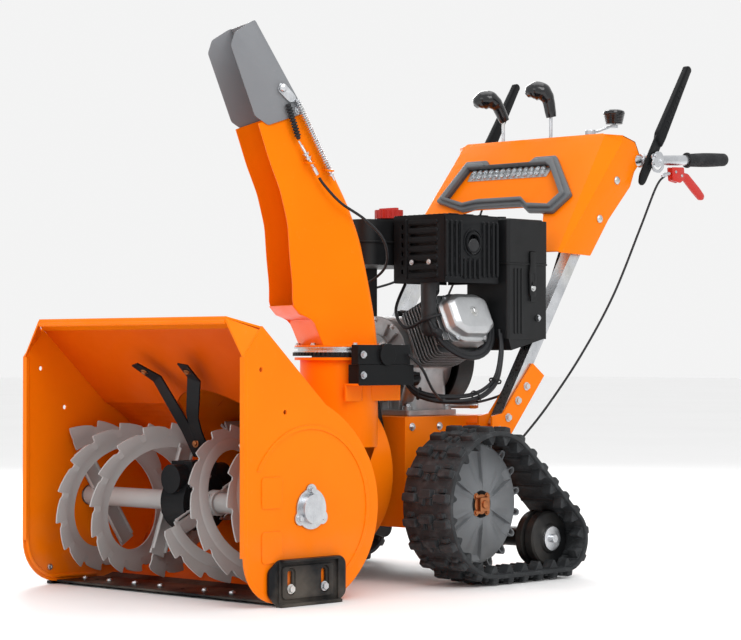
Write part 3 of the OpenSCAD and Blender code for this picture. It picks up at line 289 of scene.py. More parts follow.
FINISHES = {
    "orange_paint": paint("orange_paint", rgb("f57b08"), rgb("f07404"), rgb("ffac60"), 0.34, 0.04),
    # orange_painted_shade: a darker, redder copy of the orange paint, painted shade and reflected
    # light for the inside of the bucket
    "orange_painted_shade": paint("orange_painted_shade", rgb("df5a06"), rgb("d25004"), rgb("ff9850"), 0.36, 0.08),
    "black_steel": paint("black_steel", rgb("151617"), rgb("1c1d1f"), rgb("5d5f62"), 0.4, 0.06,
                         700, 0.5, 0.3),
    "grey_steel": paint("grey_steel", rgb("7f8184"), rgb("74767a"), rgb("b2b4b6"), 0.38, 0.15),
    "auger_paint": paint("auger_paint", rgb("b3b2b1"), rgb("a3a2a1"), rgb("d6d5d4"), 0.4, 0.12,
                         600, 0.8, 0.2),
    "zinc": plated("zinc", rgb("d5d7da"), rgb("b4b7bb"), rgb("cfc7ac")),
    "copper_zinc": plated("copper_zinc", rgb("b5754c"), rgb("95603f"), rgb("a98a4c"), 0.36),
    "aluminium_cast": casting("aluminium_cast", rgb("b6b7b8"), rgb("939596"), rgb("5d5f61")),
    "dark_cast": casting("dark_cast", rgb("2c2d2f"), rgb("1f2022"), rgb("101112"), 0.5, 650, 0.3),
    "bright_cover": casting("bright_cover", rgb("c4c6c8"), rgb("b4b6b8"), rgb("8a8c8e"), 0.36,
                            1800, 0.8),
    "black_plastic": moulded("black_plastic", rgb("121314"), rgb("191a1c")),
    "gloss_black": moulded("gloss_black", rgb("101113"), rgb("16171a"), 0.2, 2500, 0.00003, 0.6),
    "grey_plastic": moulded("grey_plastic", rgb("64676a"), rgb("5a5d60"), 0.42),
    "red_plastic": moulded("red_plastic", rgb("c81f10"), rgb("b5180c"), 0.3, 1800, 0.00005, 0.4,
                           "e8857a"),
    "grip_rubber": rubber("grip_rubber", rgb("1c1d1f"), rgb("242528"), rgb("5a5b5d"), 0.6, 1400),
    "track_rubber": rubber("track_rubber", rgb("27292b"), rgb("323436"), rgb("77797b")),
    "belt_rubber": rubber("belt_rubber", rgb("141415"), rgb("1b1b1c"), rgb("4a4a4a")),
    "cable_jacket": moulded("cable_jacket", rgb("1a1b1d"), rgb("242528"), 0.4, 900, 0.00005),
    "sprocket_grey": moulded("sprocket_grey", rgb("74777a"), rgb("64676a"), 0.4, 1100, 0.00015,
                             0.0, "9a9c9e"),
    # fin_cast: strong painted highlight on the fin edges (rim_highlight 0.9)
    "fin_cast": casting("fin_cast", rgb("77797b"), rgb("5f6163"), rgb("2b2c2e"), 0.42, 650, 0.7,
                        0.9),
    "lamp_lens": lens_glass("lamp_lens"),
    "exhaust_steel": heat_steel("exhaust_steel"),
}


def dress_cad_nodes():
    for entry in frame["record"]["subparts"]:
        node = frame["nodes"][entry["node"]]
        node.data.materials.clear()
        node.data.materials.append(FINISHES[entry["material_slot"]])


dress_cad_nodes()
frame["nodes"]["cylinder_block"].data.materials[0] = FINISHES["fin_cast"]
frame["nodes"]["exhaust"].data.materials[0] = FINISHES["dark_cast"]


# ---------------------------------------------------------------- mesh tools

ONE = Matrix.Identity(4)


def at(x, y, z, rx=0, ry=0, rz=0):
    """Placement in millimetres; the turns, in degrees, are made about X, then Y, then Z."""
    turn = Matrix.Rotation(math.radians(rz), 4, "Z") @ Matrix.Rotation(math.radians(ry), 4, "Y")
    return Matrix.Translation((x, y, z)) @ turn @ Matrix.Rotation(math.radians(rx), 4, "X")


ALONG_X = Matrix(((0, 0, 1, 0), (1, 0, 0, 0), (0, 1, 0, 0), (0, 0, 0, 1)))
AGAINST_X = at(0, 0, 0, ry=-90)
FRONT = Matrix(((1, 0, 0, 0), (0, 0, -1, 0), (0, 1, 0, 0), (0, 0, 0, 1)))


def towards(start, end):
    """Placement at start with its Z axis along the way to end."""
    turn = (end - start).normalized().to_track_quat("Z", "Y").to_matrix().to_4x4()
    return Matrix.Translation(start) @ turn


def wheel(r, a):
    """Point on a circle about the origin, a in degrees."""
    return r * math.cos(math.radians(a)), r * math.sin(math.radians(a))


def arc(cx, cy, r, a0, a1, n):
    """Points on an arc in degrees."""
    turns = [math.radians(a0 + (a1 - a0) * i / n) for i in range(n + 1)]
    return [(cx + r * math.cos(a), cy + r * math.sin(a)) for a in turns]


def rounded(points, r, n=4):
    """The closed outline with each corner eased to about radius r."""
    out = []
    count = len(points)
    for i, p in enumerate(points):
        here = Vector(p)
        back = Vector(points[i - 1]) - here
        ahead = Vector(points[(i + 1) % count]) - here
        reach = min(r, back.length * 0.45, ahead.length * 0.45)
        start = here + back.normalized() * reach
        end = here + ahead.normalized() * reach
        for k in range(n + 1):
            t = k / n
            out.append(tuple(start * (1 - t) ** 2 + here * 2 * t * (1 - t) + end * t * t))
    return out


def oblong(w, h, r, n=5):
    """Rectangle about the origin with true round corners."""
    x, y = w / 2 - r, h / 2 - r
    return (arc(x, y, r, 0, 90, n) + arc(-x, y, r, 90, 180, n)
            + arc(-x, -y, r, 180, 270, n) + arc(x, -y, r, 270, 360, n))


def moved(outline, du, dv):
    return [(u + du, v + dv) for u, v in outline]


class Solid:
    """Collects extrusions, turned shapes and boxes in one mesh."""

    def __init__(self):
        self.bm = bmesh.new()

    def loops(self, rows, closed=False, caps=True, place=ONE):
        """Skins rows of points, each row a closed ring, one after the other."""
        rings = [[self.bm.verts.new(place @ Vector(p)) for p in row] for row in rows]
        pairs = list(zip(rings, rings[1:]))
        if closed:
            pairs.append((rings[-1], rings[0]))
        for low, high in pairs:
            n = len(low)
            for i in range(n):
                self.bm.faces.new((low[i], low[(i + 1) % n], high[(i + 1) % n], high[i]))
        if caps and not closed:
            self.bm.faces.new(list(reversed(rings[0])))
            self.bm.faces.new(rings[-1])
        return self

    def extrude(self, outline, depth, place=ONE, taper=1.0):
        low = [(u, v, 0) for u, v in outline]
        high = [(u * taper, v * taper, depth) for u, v in outline]
        return self.loops([low, high], place=place)

    def box(self, x, y, z, place=ONE):
        """A box from its low and high limits on each axis."""
        outline = [(x[0], y[0]), (x[1], y[0]), (x[1], y[1]), (x[0], y[1])]
        return self.extrude(outline, z[1] - z[0], place @ at(0, 0, z[0]))

    def turn(self, profile, place=ONE, steps=48, closed=False):
        """Revolves (radius, height) points about the local Z axis."""
        rows = []
        for r, h in profile:
            rows.append([(r * math.cos(a), r * math.sin(a), h)
                         for a in (2 * math.pi * i / steps for i in range(steps))])
        return self.loops(rows, closed=closed, place=place)

    def rod(self, r, length, place=ONE, steps=32):
        return self.turn([(r, 0), (r, length)], place, steps)

    def bolt(self, r, place, washer=True, dome=0.12, head=0.72):
        """Hexagon head with a washer face and a chamfered crown."""
        if washer:
            self.turn([(r * 1.5, 0), (r * 1.5, r * 0.2), (r * 1.4, r * 0.27)], place, 28)
        base = r * 0.27 if washer else 0
        ring = [wheel(r * 1.05, a) for a in range(0, 360, 60)]
        low = [(u, v, base) for u, v in ring]
        high = [(u, v, base + r * head * 0.85) for u, v in ring]
        crown = [(u * 0.84, v * 0.84, base + r * head) for u, v in ring]
        self.loops([low, high, crown], place=place)
        self.turn([(r * 0.5, base + r * head - 0.1), (r * 0.42, base + r * (head + dome))],
                  place, 20)
        return self

    def screw(self, r, place):
        """Domed screw head with a socket rim."""
        return self.turn([(r, 0), (r, r * 0.35), (r * 0.85, r * 0.62), (r * 0.5, r * 0.72),
                          (r * 0.45, r * 0.45)], place, 28)

    def on(self, side):
        """Mirrors the solid across the middle plane when side is -1."""
        if side < 0:
            bmesh.ops.scale(self.bm, vec=(-1, 1, 1), verts=self.bm.verts)
            bmesh.ops.reverse_faces(self.bm, faces=self.bm.faces)
        return self

    def make(self, name, finish, body, replaces=(), bevel=0.0, segments=2, angle=30):
        """Turns the mesh into a named piece that rides on its body."""
        bmesh.ops.recalc_face_normals(self.bm, faces=self.bm.faces)
        bmesh.ops.scale(self.bm, vec=(MM, MM, MM), verts=self.bm.verts)
        mesh = bpy.data.meshes.new(name)
        self.bm.to_mesh(mesh)
        self.bm.free()
        piece = bpy.data.objects.new(name, mesh)
        bpy.context.scene.collection.objects.link(piece)
        if bevel:
            edge = piece.modifiers.new("edge", "BEVEL")
            edge.width = bevel * MM
            edge.segments = segments
            edge.limit_method = "ANGLE"
            edge.angle_limit = math.radians(angle)
            edge.harden_normals = True
        mesh.polygons.foreach_set("use_smooth", [True] * len(mesh.polygons))
        mesh.set_sharp_from_angle(angle=math.radians(angle + 5))
        mesh.materials.append(FINISHES[finish])
        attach(piece, body)
        for node in replaces:
            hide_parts(node)
        return piece


def curve_points(points, n=8):
    """Points of a smooth line through given ones."""
    p = [Vector(q) for q in points]
    out = []
    for i in range(len(p) - 1):
        a, b, c, d = p[max(i - 1, 0)], p[i], p[i + 1], p[min(i + 2, len(p) - 1)]
        for k in range(n):
            t = k / n
            out.append(0.5 * (2 * b + (c - a) * t + (2 * a - 5 * b + 4 * c - d) * t * t
                              + (3 * b - a - 3 * c + d) * t ** 3))
    out.append(p[-1])
    return out


def sweep(solid, points, r, sides=12, radius_of=None):
    """Adds a round tube along the points; radius_of gives its radius at step i."""
    rows = []
    side = None
    last = len(points) - 1
    for i, p in enumerate(points):
        along = (points[min(i + 1, last)] - points[max(i - 1, 0)]).normalized()
        if side is None:
            side = along.orthogonal().normalized()
        side = (side - along * side.dot(along)).normalized()
        up = along.cross(side)
        here = radius_of(i) if radius_of else r
        rows.append([p + here * (math.cos(a) * side + math.sin(a) * up)
                     for a in (2 * math.pi * k / sides for k in range(sides))])
    solid.loops(rows)
    return solid


def plate(outlines, depth, bevel=0.0):
    """A flat plate on z = 0 .. depth from an outer outline and its holes, with eased rims."""
    curve = bpy.data.curves.new("outline", "CURVE")
    curve.dimensions = "2D"
    curve.fill_mode = "BOTH"
    curve.extrude = max(depth / 2 - bevel, 0.01)
    curve.bevel_depth = bevel
    curve.bevel_resolution = 2
    curve.offset = -bevel
    for outline in outlines:
        line = curve.splines.new("POLY")
        line.points.add(len(outline) - 1)
        line.use_cyclic_u = True
        for point, (u, v) in zip(line.points, outline):
            point.co = (u, v, 0, 1)
    holder = bpy.data.objects.new("outline", curve)
    bpy.context.scene.collection.objects.link(holder)
    bpy.context.view_layer.update()
    mesh = bpy.data.meshes.new_from_object(holder.evaluated_get(
        bpy.context.evaluated_depsgraph_get()))
    bpy.data.objects.remove(holder)
    bpy.data.curves.remove(curve)
    mesh.transform(at(0, 0, depth / 2))
    return mesh


def add_plate(solid, outlines, depth, place=ONE, bevel=0.0, copies=(ONE,)):
    mesh = plate(outlines, depth, bevel)
    for copy in copies:
        placed = mesh.copy()
        placed.transform(copy @ place)
        solid.bm.from_mesh(placed)
        bpy.data.meshes.remove(placed)
    bpy.data.meshes.remove(mesh)
    bmesh.ops.remove_doubles(solid.bm, verts=solid.bm.verts, dist=0.01)
    return solid


def weld(solid, a, b, r=2.6):
    """A wavy weld bead from a to b."""
    a, b = Vector(a), Vector(b)
    count = max(6, int((b - a).length / 1.6))
    line = [a.lerp(b, i / count) for i in range(count + 1)]
    sweep(solid, line, r, 8, lambda i: r * (0.85 + 0.2 * math.sin(i * 2.2)) * (0.5 if i in
          (0, count) else 1))


# Driving dimensions that the looks share with the CAD frame
PLATE_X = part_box("side_plate_left")[1].x / MM - 2
AUGER_Y = -648
AUGER_Z = 190
IMPELLER_Z = 240
CRANK_Z = 490
AXLE = (-105, 174)
IDLER = (128, 87)
CHUTE = at(108, -322, 0, rz=-23)
CHUTE_ACROSS = CHUTE @ Matrix(((0, 0, 1, 0), (-1, 0, 0, 0), (0, 1, 0, 0), (0, 0, 0, 1)))
CHUTE_HALF = 72


# ---------------------------------------------------------------- auger

RIBBON_TURN = 414
RIBBON_X = (70, 330)
TOOTH = ((0.0, 151), (0.12, 156), (0.35, 159), (0.6, 162), (0.84, 165), (0.87, 164), (0.9, 151.5))


def flight_ribbon(solid, start, teeth=17):
    """One serrated helical ribbon with a pressed step along its middle."""
    rows = []
    for tooth in range(teeth):
        for phase, outer in TOOTH:
            t = (tooth + phase) / teeth
            a = math.radians(start + RIBBON_TURN * t)
            x = RIBBON_X[0] + (RIBBON_X[1] - RIBBON_X[0]) * t
            section = ((0, 112), (0, 130), (-2.6, 135), (-2.2, outer), (1.4, outer),
                       (1.0, 136), (3.8, 131), (4, 112))
            rows.append([(x + dx, r * math.cos(a), r * math.sin(a)) for dx, r in section])
    solid.loops(rows, place=at(0, AUGER_Y, AUGER_Z))


def flight_strap(solid, x, a):
    """Folded strap from the tube to the ribbon, welded at its root."""
    place = at(x, AUGER_Y, AUGER_Z, rx=a)
    solid.box((-2.5, 2.5), (-19, 19), (18, 122), place)
    solid.box((-9, 2.5), (-19, -15.5), (34, 112), place)
    solid.box((-9, 2.5), (15.5, 19), (34, 112), place)
    for side in (-3.5, 3.5):
        weld(solid, place @ Vector((side, -17, 21)), place @ Vector((side, 17, 21)))


def flight_half(solid, start):
    for turn in (0, 180):
        flight_ribbon(solid, start + turn)
    for turn in (0, 180):
        flight_strap(solid, 72, start + turn - 85)
        flight_strap(solid, 296, start + turn + 328)
    for x in (72, 296):
        solid.turn([(21.3, -12), (26, -12), (27, -11), (27, 11), (26, 12), (21.3, 12)],
                   at(x, AUGER_Y, AUGER_Z) @ ALONG_X, 40, closed=True)
        solid.bolt(5, at(x, AUGER_Y, AUGER_Z, rx=start + 40) @ at(0, 0, 26.5))


def make_flights():
    left = Solid()
    flight_half(left, 20)
    right = Solid()
    flight_half(right, 65)
    left.make("flights_left", "auger_paint", "auger", ("auger_flights",), 0.5, 1, 28)
    right.on(-1).make("flights_right", "auger_paint", "auger", (), 0.5, 1, 28)


BRACE = [(12, -622, 283), (14, -655, 340), (22, -672, 372), (58, -700, 449), (76, -748, 479.5)]


def make_gearbox_details():
    """Casting bosses and bolts round the gearbox, and bolts on its forked brace."""
    bosses = Solid()
    bolts = Solid()
    for a in range(20, 380, 60):
        y, z = (base + part for base, part in zip((AUGER_Y, AUGER_Z), wheel(55, a)))
        for side in (-1, 1):
            place = at(side * 36, y, z) @ (
                ALONG_X if side > 0 else AGAINST_X)
            bosses.turn([(8, -3), (8, 0.6), (7, 1.2)], place, 20)
            bolts.bolt(4, place @ at(0, 0, 1), washer=False)
    for y in (-30, 30):
        bosses.box((-30, 30), (AUGER_Y + y - 2, AUGER_Y + y + 2), (AUGER_Z + 40, 274))
    bosses.make("gearbox_bosses", "black_steel", "chassis", (), 0.8)
    bolts.make("gearbox_bolts", "zinc", "chassis", (), 0.3)
    arms = Solid()
    fixings = Solid()
    for side in (-1, 1):
        path = [Vector((side * x, y, z)) for x, y, z in BRACE]
        rows = []
        for before, p, after in zip([path[0]] + path, path, path[1:] + [path[-1]]):
            along = (after - before).normalized()
            wide = (Vector((1, 0, 0)) - along * along.x).normalized()
            face = along.cross(wide).normalized() * 2
            wide = wide * (17 - 4 * (p is path[-1]))
            rows.append([p + wide + face, p - wide + face, p - wide - face, p + wide - face])
        arms.loops(rows)
        tip = path[-2].lerp(path[-1], 0.55)
        down = (path[-1] - path[-2]).cross(Vector((-1, 0, 0)))
        fixings.bolt(5.5, towards(tip, tip + down) @ at(0, 0, 2))
    fixings.bolt(6, at(0, -640, 312) @ at(0, 0, 0, rx=90)
                 @ at(0, 0, 3))
    arms.make("brace_plate", "black_steel", "chassis", ("gearbox_brace",), 0.6)
    fixings.make("brace_bolts", "copper_zinc", "chassis", (), 0.3)


# ---------------------------------------------------------------- bucket and shoes

def make_bucket_details():
    """Rolled bead along the side plates, weld beads and the bucket's own fasteners."""
    beads = Solid()
    front = -830
    outline = [(front + 9, 492), (front + 9, 110)] + arc(front + 94, 101, 84, 182, 268, 12)
    for side in (-1, 1):
        line = [Vector((side * (PLATE_X - 4), y, z)) for y, z in outline]
        line.append(Vector((side * (PLATE_X - 4), front + 200, 15)))
        sweep(beads, line, 4.5, 10)
    sweep(beads, [Vector((x, front + 2, 565)) for x in range(-294, 295, 42)], 4.4, 10)
    beads.make("bucket_bead", "orange_paint", "chassis")
    welds = Solid()
    for side in (-1, 1):
        for a0 in range(-60, 60, 24):
            p, q = (Vector((side * (PLATE_X - 5.5), AUGER_Y + 190 * math.cos(a),
                            AUGER_Z + 190 * math.sin(a)))
                    for a in (math.radians(a0), math.radians(a0 + 7)))
            weld(welds, p, q, 2.4)
    for a0 in range(0, 360, 30):
        p, q = (Vector((188 * math.cos(a), -466 - 16 * math.sin(a) ** 2, IMPELLER_Z
                        + 188 * math.sin(a)))
                for a in (math.radians(a0), math.radians(a0 + 9)))
        weld(welds, p, q, 2.4)
    # the welds inside the bucket take the darker orange copy, painted shade
    welds.make("bucket_welds", "orange_painted_shade", "chassis")
    bolts = Solid()
    for side in (-1, 1):
        for x in range(70, 330, 84):
            bolts.screw(7, at(side * x, front + 150, 9.2))
        for y, z in ((front + 70, 38), (front + 262, 40)):
            bolts.screw(7, at(side * (PLATE_X - 4.4), y, z)
                        @ at(0, 0, 0, ry=-90 * side))
    bolts.make("bucket_bolts", "zinc", "chassis")


SHOE_FRONT = -830


def make_shoes():
    """Skid shoes with a raised centre panel round two long slots, and turned-out flanges."""
    for side, name in ((1, "left"), (-1, "right")):
        shoe = Solid()
        rim = rounded([(SHOE_FRONT + 60, 24), (SHOE_FRONT + 84, 0), (SHOE_FRONT + 256, 0),
                       (SHOE_FRONT + 276, 16), (SHOE_FRONT + 276, 82), (SHOE_FRONT + 262, 93),
                       (SHOE_FRONT + 88, 93), (SHOE_FRONT + 60, 72)], 8)
        slots = [moved(oblong(12.8, 42.8, 6.4), SHOE_FRONT + y, 49) for y in (118, 212)]
        panel = moved(oblong(142, 66, 9), SHOE_FRONT + 165, 47)
        recess = [moved(oblong(24, 54, 11), SHOE_FRONT + y, 49) for y in (118, 212)]
        base = at(PLATE_X + 2.4, 0, 0) @ ALONG_X
        add_plate(shoe, [rim] + slots, 5.6, base, 1.0)
        add_plate(shoe, [panel] + recess, 4.4,
                  at(PLATE_X + 7.6, 0, 0) @ ALONG_X, 1.4)
        shoe.extrude(oblong(20, 172, 4), 6, at(PLATE_X + 12.4, SHOE_FRONT + 168, 0))
        shoe.extrude(oblong(18, 160, 4), 5, at(PLATE_X + 11.4, SHOE_FRONT + 172, 88))
        for y in (SHOE_FRONT + 84, SHOE_FRONT + 250):
            shoe.box((PLATE_X + 7, PLATE_X + 12), (y, y + 4), (3, 90))
        shoe.on(side).make(f"shoe_{name}", "black_steel", f"skid_shoe_{name}",
                           (f"skid_shoe_{name}",))


# ---------------------------------------------------------------- tracks

BELT_R = (150, 62)
BELT_X = (244, 384)
LUG_COUNT = 24


def belt_frame():
    """Length of the belt's inside line and a function that gives its place and direction."""
    ca, cb = Vector(AXLE), Vector(IDLER)
    gap = (cb - ca).length
    heading = math.atan2(cb.y - ca.y, cb.x - ca.x)
    spread = math.acos((BELT_R[0] - BELT_R[1]) / gap)
    arc1 = BELT_R[0] * (2 * math.pi - 2 * spread)
    arc2 = BELT_R[1] * 2 * spread
    side = gap * math.sin(spread)

    def place(s):
        s %= arc1 + arc2 + 2 * side
        if s < arc1:
            a = heading + spread + s / BELT_R[0]
            return ca + BELT_R[0] * Vector((math.cos(a), math.sin(a))), a
        s -= arc1
        a = heading - spread
        out = Vector((math.cos(a), math.sin(a)))
        if s < side:
            return (ca + BELT_R[0] * out).lerp(cb + BELT_R[1] * out, s / side), a
        s -= side
        if s < arc2:
            a += s / BELT_R[1]
            return cb + BELT_R[1] * Vector((math.cos(a), math.sin(a))), a
        a = heading + spread
        out = Vector((math.cos(a), math.sin(a)))
        return (cb + BELT_R[1] * out).lerp(ca + BELT_R[0] * out, (s - arc2) / side), a

    return arc1 + arc2 + 2 * side, place


def make_track(side, name):
    """Belt with staggered lugs outside, driving ribs inside and wedges at its outer edge."""
    full, where = belt_frame()
    track = Solid()
    rows = []
    count = 168
    for i in range(count):
        (y, z), a = where(full * i / count)
        out = Vector((0, math.cos(a), math.sin(a)))
        foot = Vector((0, y, z))
        rows.append([Vector((x, 0, 0)) + foot + out * h for x, h in (
            (BELT_X[0], 1), (BELT_X[0] + 3, 0), (BELT_X[1] - 3, 0), (BELT_X[1], 1),
            (BELT_X[1], 8.5), (BELT_X[1] - 4, 10), (BELT_X[0] + 4, 10), (BELT_X[0], 8.5))])
    track.loops(rows, closed=True)
    pitch = full / LUG_COUNT
    for i in range(LUG_COUNT):
        (y, z), a = where((i + 0.5) * pitch)
        place = at(0, y, z, rx=math.degrees(a) - 90)
        wide = 42
        for k, shift in ((0, -2), (1, 7), (2, -2)):
            x = BELT_X[0] + 25 + k * 45
            lug = place @ at(x, shift, 9)
            track.extrude(oblong(wide, 20, 4, 2), 12.5, lug, 0.86)
            if k == 1:
                for dx in (-11, 11):
                    track.extrude(oblong(13, 24, 3, 2), 7, place @ at(x + dx, shift - 14, 9), 0.8)
            else:
                track.extrude(oblong(20, 12, 3, 2), 8, place @ at(x, shift + 17, 9), 0.8)
        track.loops([[(BELT_X[1] - w, -14, 0), (BELT_X[1] - w, 14, 0),
                      (BELT_X[1] - w, 2.5, -19), (BELT_X[1] - w, -2.5, -19)]
                     for w in (8, 33)], place=place)
        track.loops([[(x, -6, 1), (x, 6, 1), (x, 3.5, -4.5), (x, -3.5, -4.5)]
                     for x in (BELT_X[0] + 5, BELT_X[1] - 36)], place=place)
    track.on(side).make(f"track_belt_{name}", "track_rubber", "chassis", (f"track_{name}",), 1.6)


DISC_PROFILE = ((30, 330), (44, 330), (56, 328), (70, 325), (84, 322), (98, 319), (112, 316),
                (124, 314), (131, 312), (134, 308), (134, 290), (128, 287))


def make_sprocket(side, name):
    """Dished disc with pressed spokes, loop teeth round its rim and a square hub."""
    disc = Solid()
    rows = []
    steps = 240
    for i in range(steps):
        a = 2 * math.pi * i / steps
        wave = math.cos(3 * a)
        ridge = max(0.0, 1 - abs(abs(wave) - 0.62) / 0.3)
        row = []
        for r, x in DISC_PROFILE:
            window = max(0.0, min(1.0, (r - 40) / 14, (124 - r) / 10))
            depth = (9 * (abs(wave) < 0.38) + 4 * ridge) * window
            row.append((x - depth, r * math.cos(a), r * math.sin(a)))
        for r, x in ((120, 282), (30, 286)):
            row.append((x, r * math.cos(a), r * math.sin(a)))
        rows.append(row)
    centre = at(0, *AXLE)
    disc.loops(rows, closed=True, place=centre)
    loop = [(-9, 126), (-8, 140)] + arc(0, 141, 7, 180, 0, 8)[1:-1] + [(8, 140), (9, 126)]
    hole = [(-5.5, 128), (-4.6, 139)] + arc(0, 140, 3.8, 180, 0, 6)[1:-1] + [(4.6, 139), (5.5, 128)]
    turns = [at(0, *AXLE, rx=a) @ at(296, 0, 0) for a in range(0, 360, 20)]
    add_plate(disc, [loop, hole], 18, ALONG_X, 0.8, turns)
    disc.turn([(8, 192), (24, 192), (24, 296), (26, 300), (34, 302), (34, 290), (8, 290)],
              centre @ ALONG_X, 40, closed=True)
    disc.turn([(4, 100), (12.4, 100), (12.4, 300), (4, 300)], centre @ ALONG_X, 32, closed=True)
    hub = Solid()
    hub.extrude(oblong(30, 30, 3), 12, at(329, *AXLE) @ ALONG_X)
    hub.turn([(22, 0), (22, 3), (20, 4)], at(328, *AXLE) @ ALONG_X, 40)
    for a in range(45, 405, 90):
        y, z = (base + part for base, part in zip(AXLE, wheel(25, a)))
        hub.bolt(5, at(330, y, z) @ ALONG_X)
    hub.turn([(9, 12), (9, 15), (6, 16.5)], at(329, *AXLE) @ ALONG_X, 24)
    disc.on(side).make(f"sprocket_disc_{name}", "sprocket_grey", f"sprocket_{name}",
                       (f"sprocket_{name}",), 0.7)
    hub.on(side).make(f"sprocket_hub_{name}", "copper_zinc", f"sprocket_{name}", (), 0.6)


for side_sign, side_name in ((1, "left"), (-1, "right")):
    make_track(side_sign, side_name)
    make_sprocket(side_sign, side_name)
make_flights()
make_gearbox_details()
make_bucket_details()
make_shoes()


def two_tone(node, finish, test):
    """Gives the faces of a CAD node that pass a test of centre in mm and normal a new finish."""
    mesh = frame["nodes"][node].data
    mesh.materials.append(FINISHES[finish])
    index = len(mesh.materials) - 1
    for face in mesh.polygons:
        if test(face.center / MM, face.normal):
            face.material_index = index


# painted shade: bucket faces turned towards the auger get the darker orange copy
two_tone("bucket_wrapper", "orange_painted_shade",
         lambda c, n: n.y * (AUGER_Y - c.y) + n.z * (AUGER_Z - c.z) > 20 and c.y > -780)
two_tone("handle_brackets", "zinc", lambda c, n: abs(c.x) > 249.05)
two_tone("chute_drive_case", "orange_paint", lambda c, n: c.z < 438.5)
two_tone("chute_drive_case", "zinc", lambda c, n: c.x > 232.05 and c.y < -350)
two_tone("chute_ring", "black_plastic", lambda c, n: c.z < 505.2)
two_tone("idler_left", "zinc", lambda c, n: c.x > 334.1)
two_tone("idler_right", "zinc", lambda c, n: c.x < -334.1)
two_tone("fuel_tank", "black_steel", lambda c, n: c.z < 700)


# ---------------------------------------------------------------- chute and deflector

CHUTE_BACK = [(-66, 520), (-59, 579), (-43, 665), (-22, 756), (6, 827), (50, 912), (112, 1028)]
CHUTE_LIP = [(66, 520), (90, 575), (121, 586), (137, 605), (137, 652), (143, 708), (148, 780),
             (165, 850), (190, 913), (215, 990)]
SHEET = 3
CORNER_R = 15


def along(points, t):
    """Point at the fraction t of a polyline's length."""
    p = [Vector(q) for q in points]
    lengths = [(b - a).length for a, b in zip(p, p[1:])]
    rest = t * sum(lengths)
    for a, b, span in zip(p, p[1:], lengths):
        if rest <= span:
            return a.lerp(b, rest / span)
        rest -= span
    return p[-1]


def eased(points, t, reach=0.035):
    """The same, with its corners softened."""
    return sum((along(points, min(1, max(0, t + d))) for d in (-reach, 0, reach)),
               Vector((0, 0))) / 3


def channel_row(front, back, half, inset=0.0):
    """Half-open section of the chute: near wall, round corners, back and far wall."""
    way = (back - front).normalized()
    span = (back - front).length - inset
    r = CORNER_R - inset
    wall = half - inset
    near = [(0.5, wall + 1.6), (6, wall + 1.6), (26, wall + 1.2), (31, wall), (span * 0.6, wall)]
    near += [(span - r + r * math.sin(math.radians(a)), wall - r + r * math.cos(math.radians(a)))
             for a in range(0, 91, 15)]
    points = near + [(s, -x) for s, x in reversed(near)]
    return [(*(front + way * s), x) for s, x in points]


def make_chute():
    """Open-fronted chute with eased corners, its kinked foot, flange and weld beads."""
    rows = []
    steps = 40
    for i in range(steps + 1):
        t = i / steps
        front = eased(CHUTE_LIP, t, 0.02) if 0 < i < steps else along(CHUTE_LIP, t)
        back = eased(CHUTE_BACK, t) if 0 < i < steps else along(CHUTE_BACK, t)
        outer = channel_row(front, back, CHUTE_HALF - 1.6)
        inner = channel_row(front, back, CHUTE_HALF - 1.6, SHEET)
        rows.append(outer + list(reversed(inner)))
    chute = Solid().loops(rows, place=CHUTE_ACROSS)
    foot = []
    for u, z in CHUTE_LIP[:4]:
        foot.append([(u, z, -CHUTE_HALF + 2), (u, z, CHUTE_HALF - 2),
                     (u - SHEET, z + 1.5, CHUTE_HALF - 2), (u - SHEET, z + 1.5, -CHUTE_HALF + 2)])
    chute.loops(foot, place=CHUTE_ACROSS)
    chute.turn([(67, 516.2), (96, 516.2), (97, 517), (97, 519.2), (96, 520), (67, 520)], CHUTE,
               64, closed=True)
    for side in (-1, 1):
        weld(chute, CHUTE @ Vector((side * (CHUTE_HALF - 1), -60, 521)),
             CHUTE @ Vector((side * (CHUTE_HALF - 1), 56, 521)), 2.6)
    chute.make("chute_shell", "orange_paint", "chute", ("chute",), 0.5, 1, 40)


CAP_SIDE = [(117, 1032), (223, 1210), (233, 1205), (268, 1182), (277, 1153), (223, 1006),
            (193, 987), (117, 1014)]


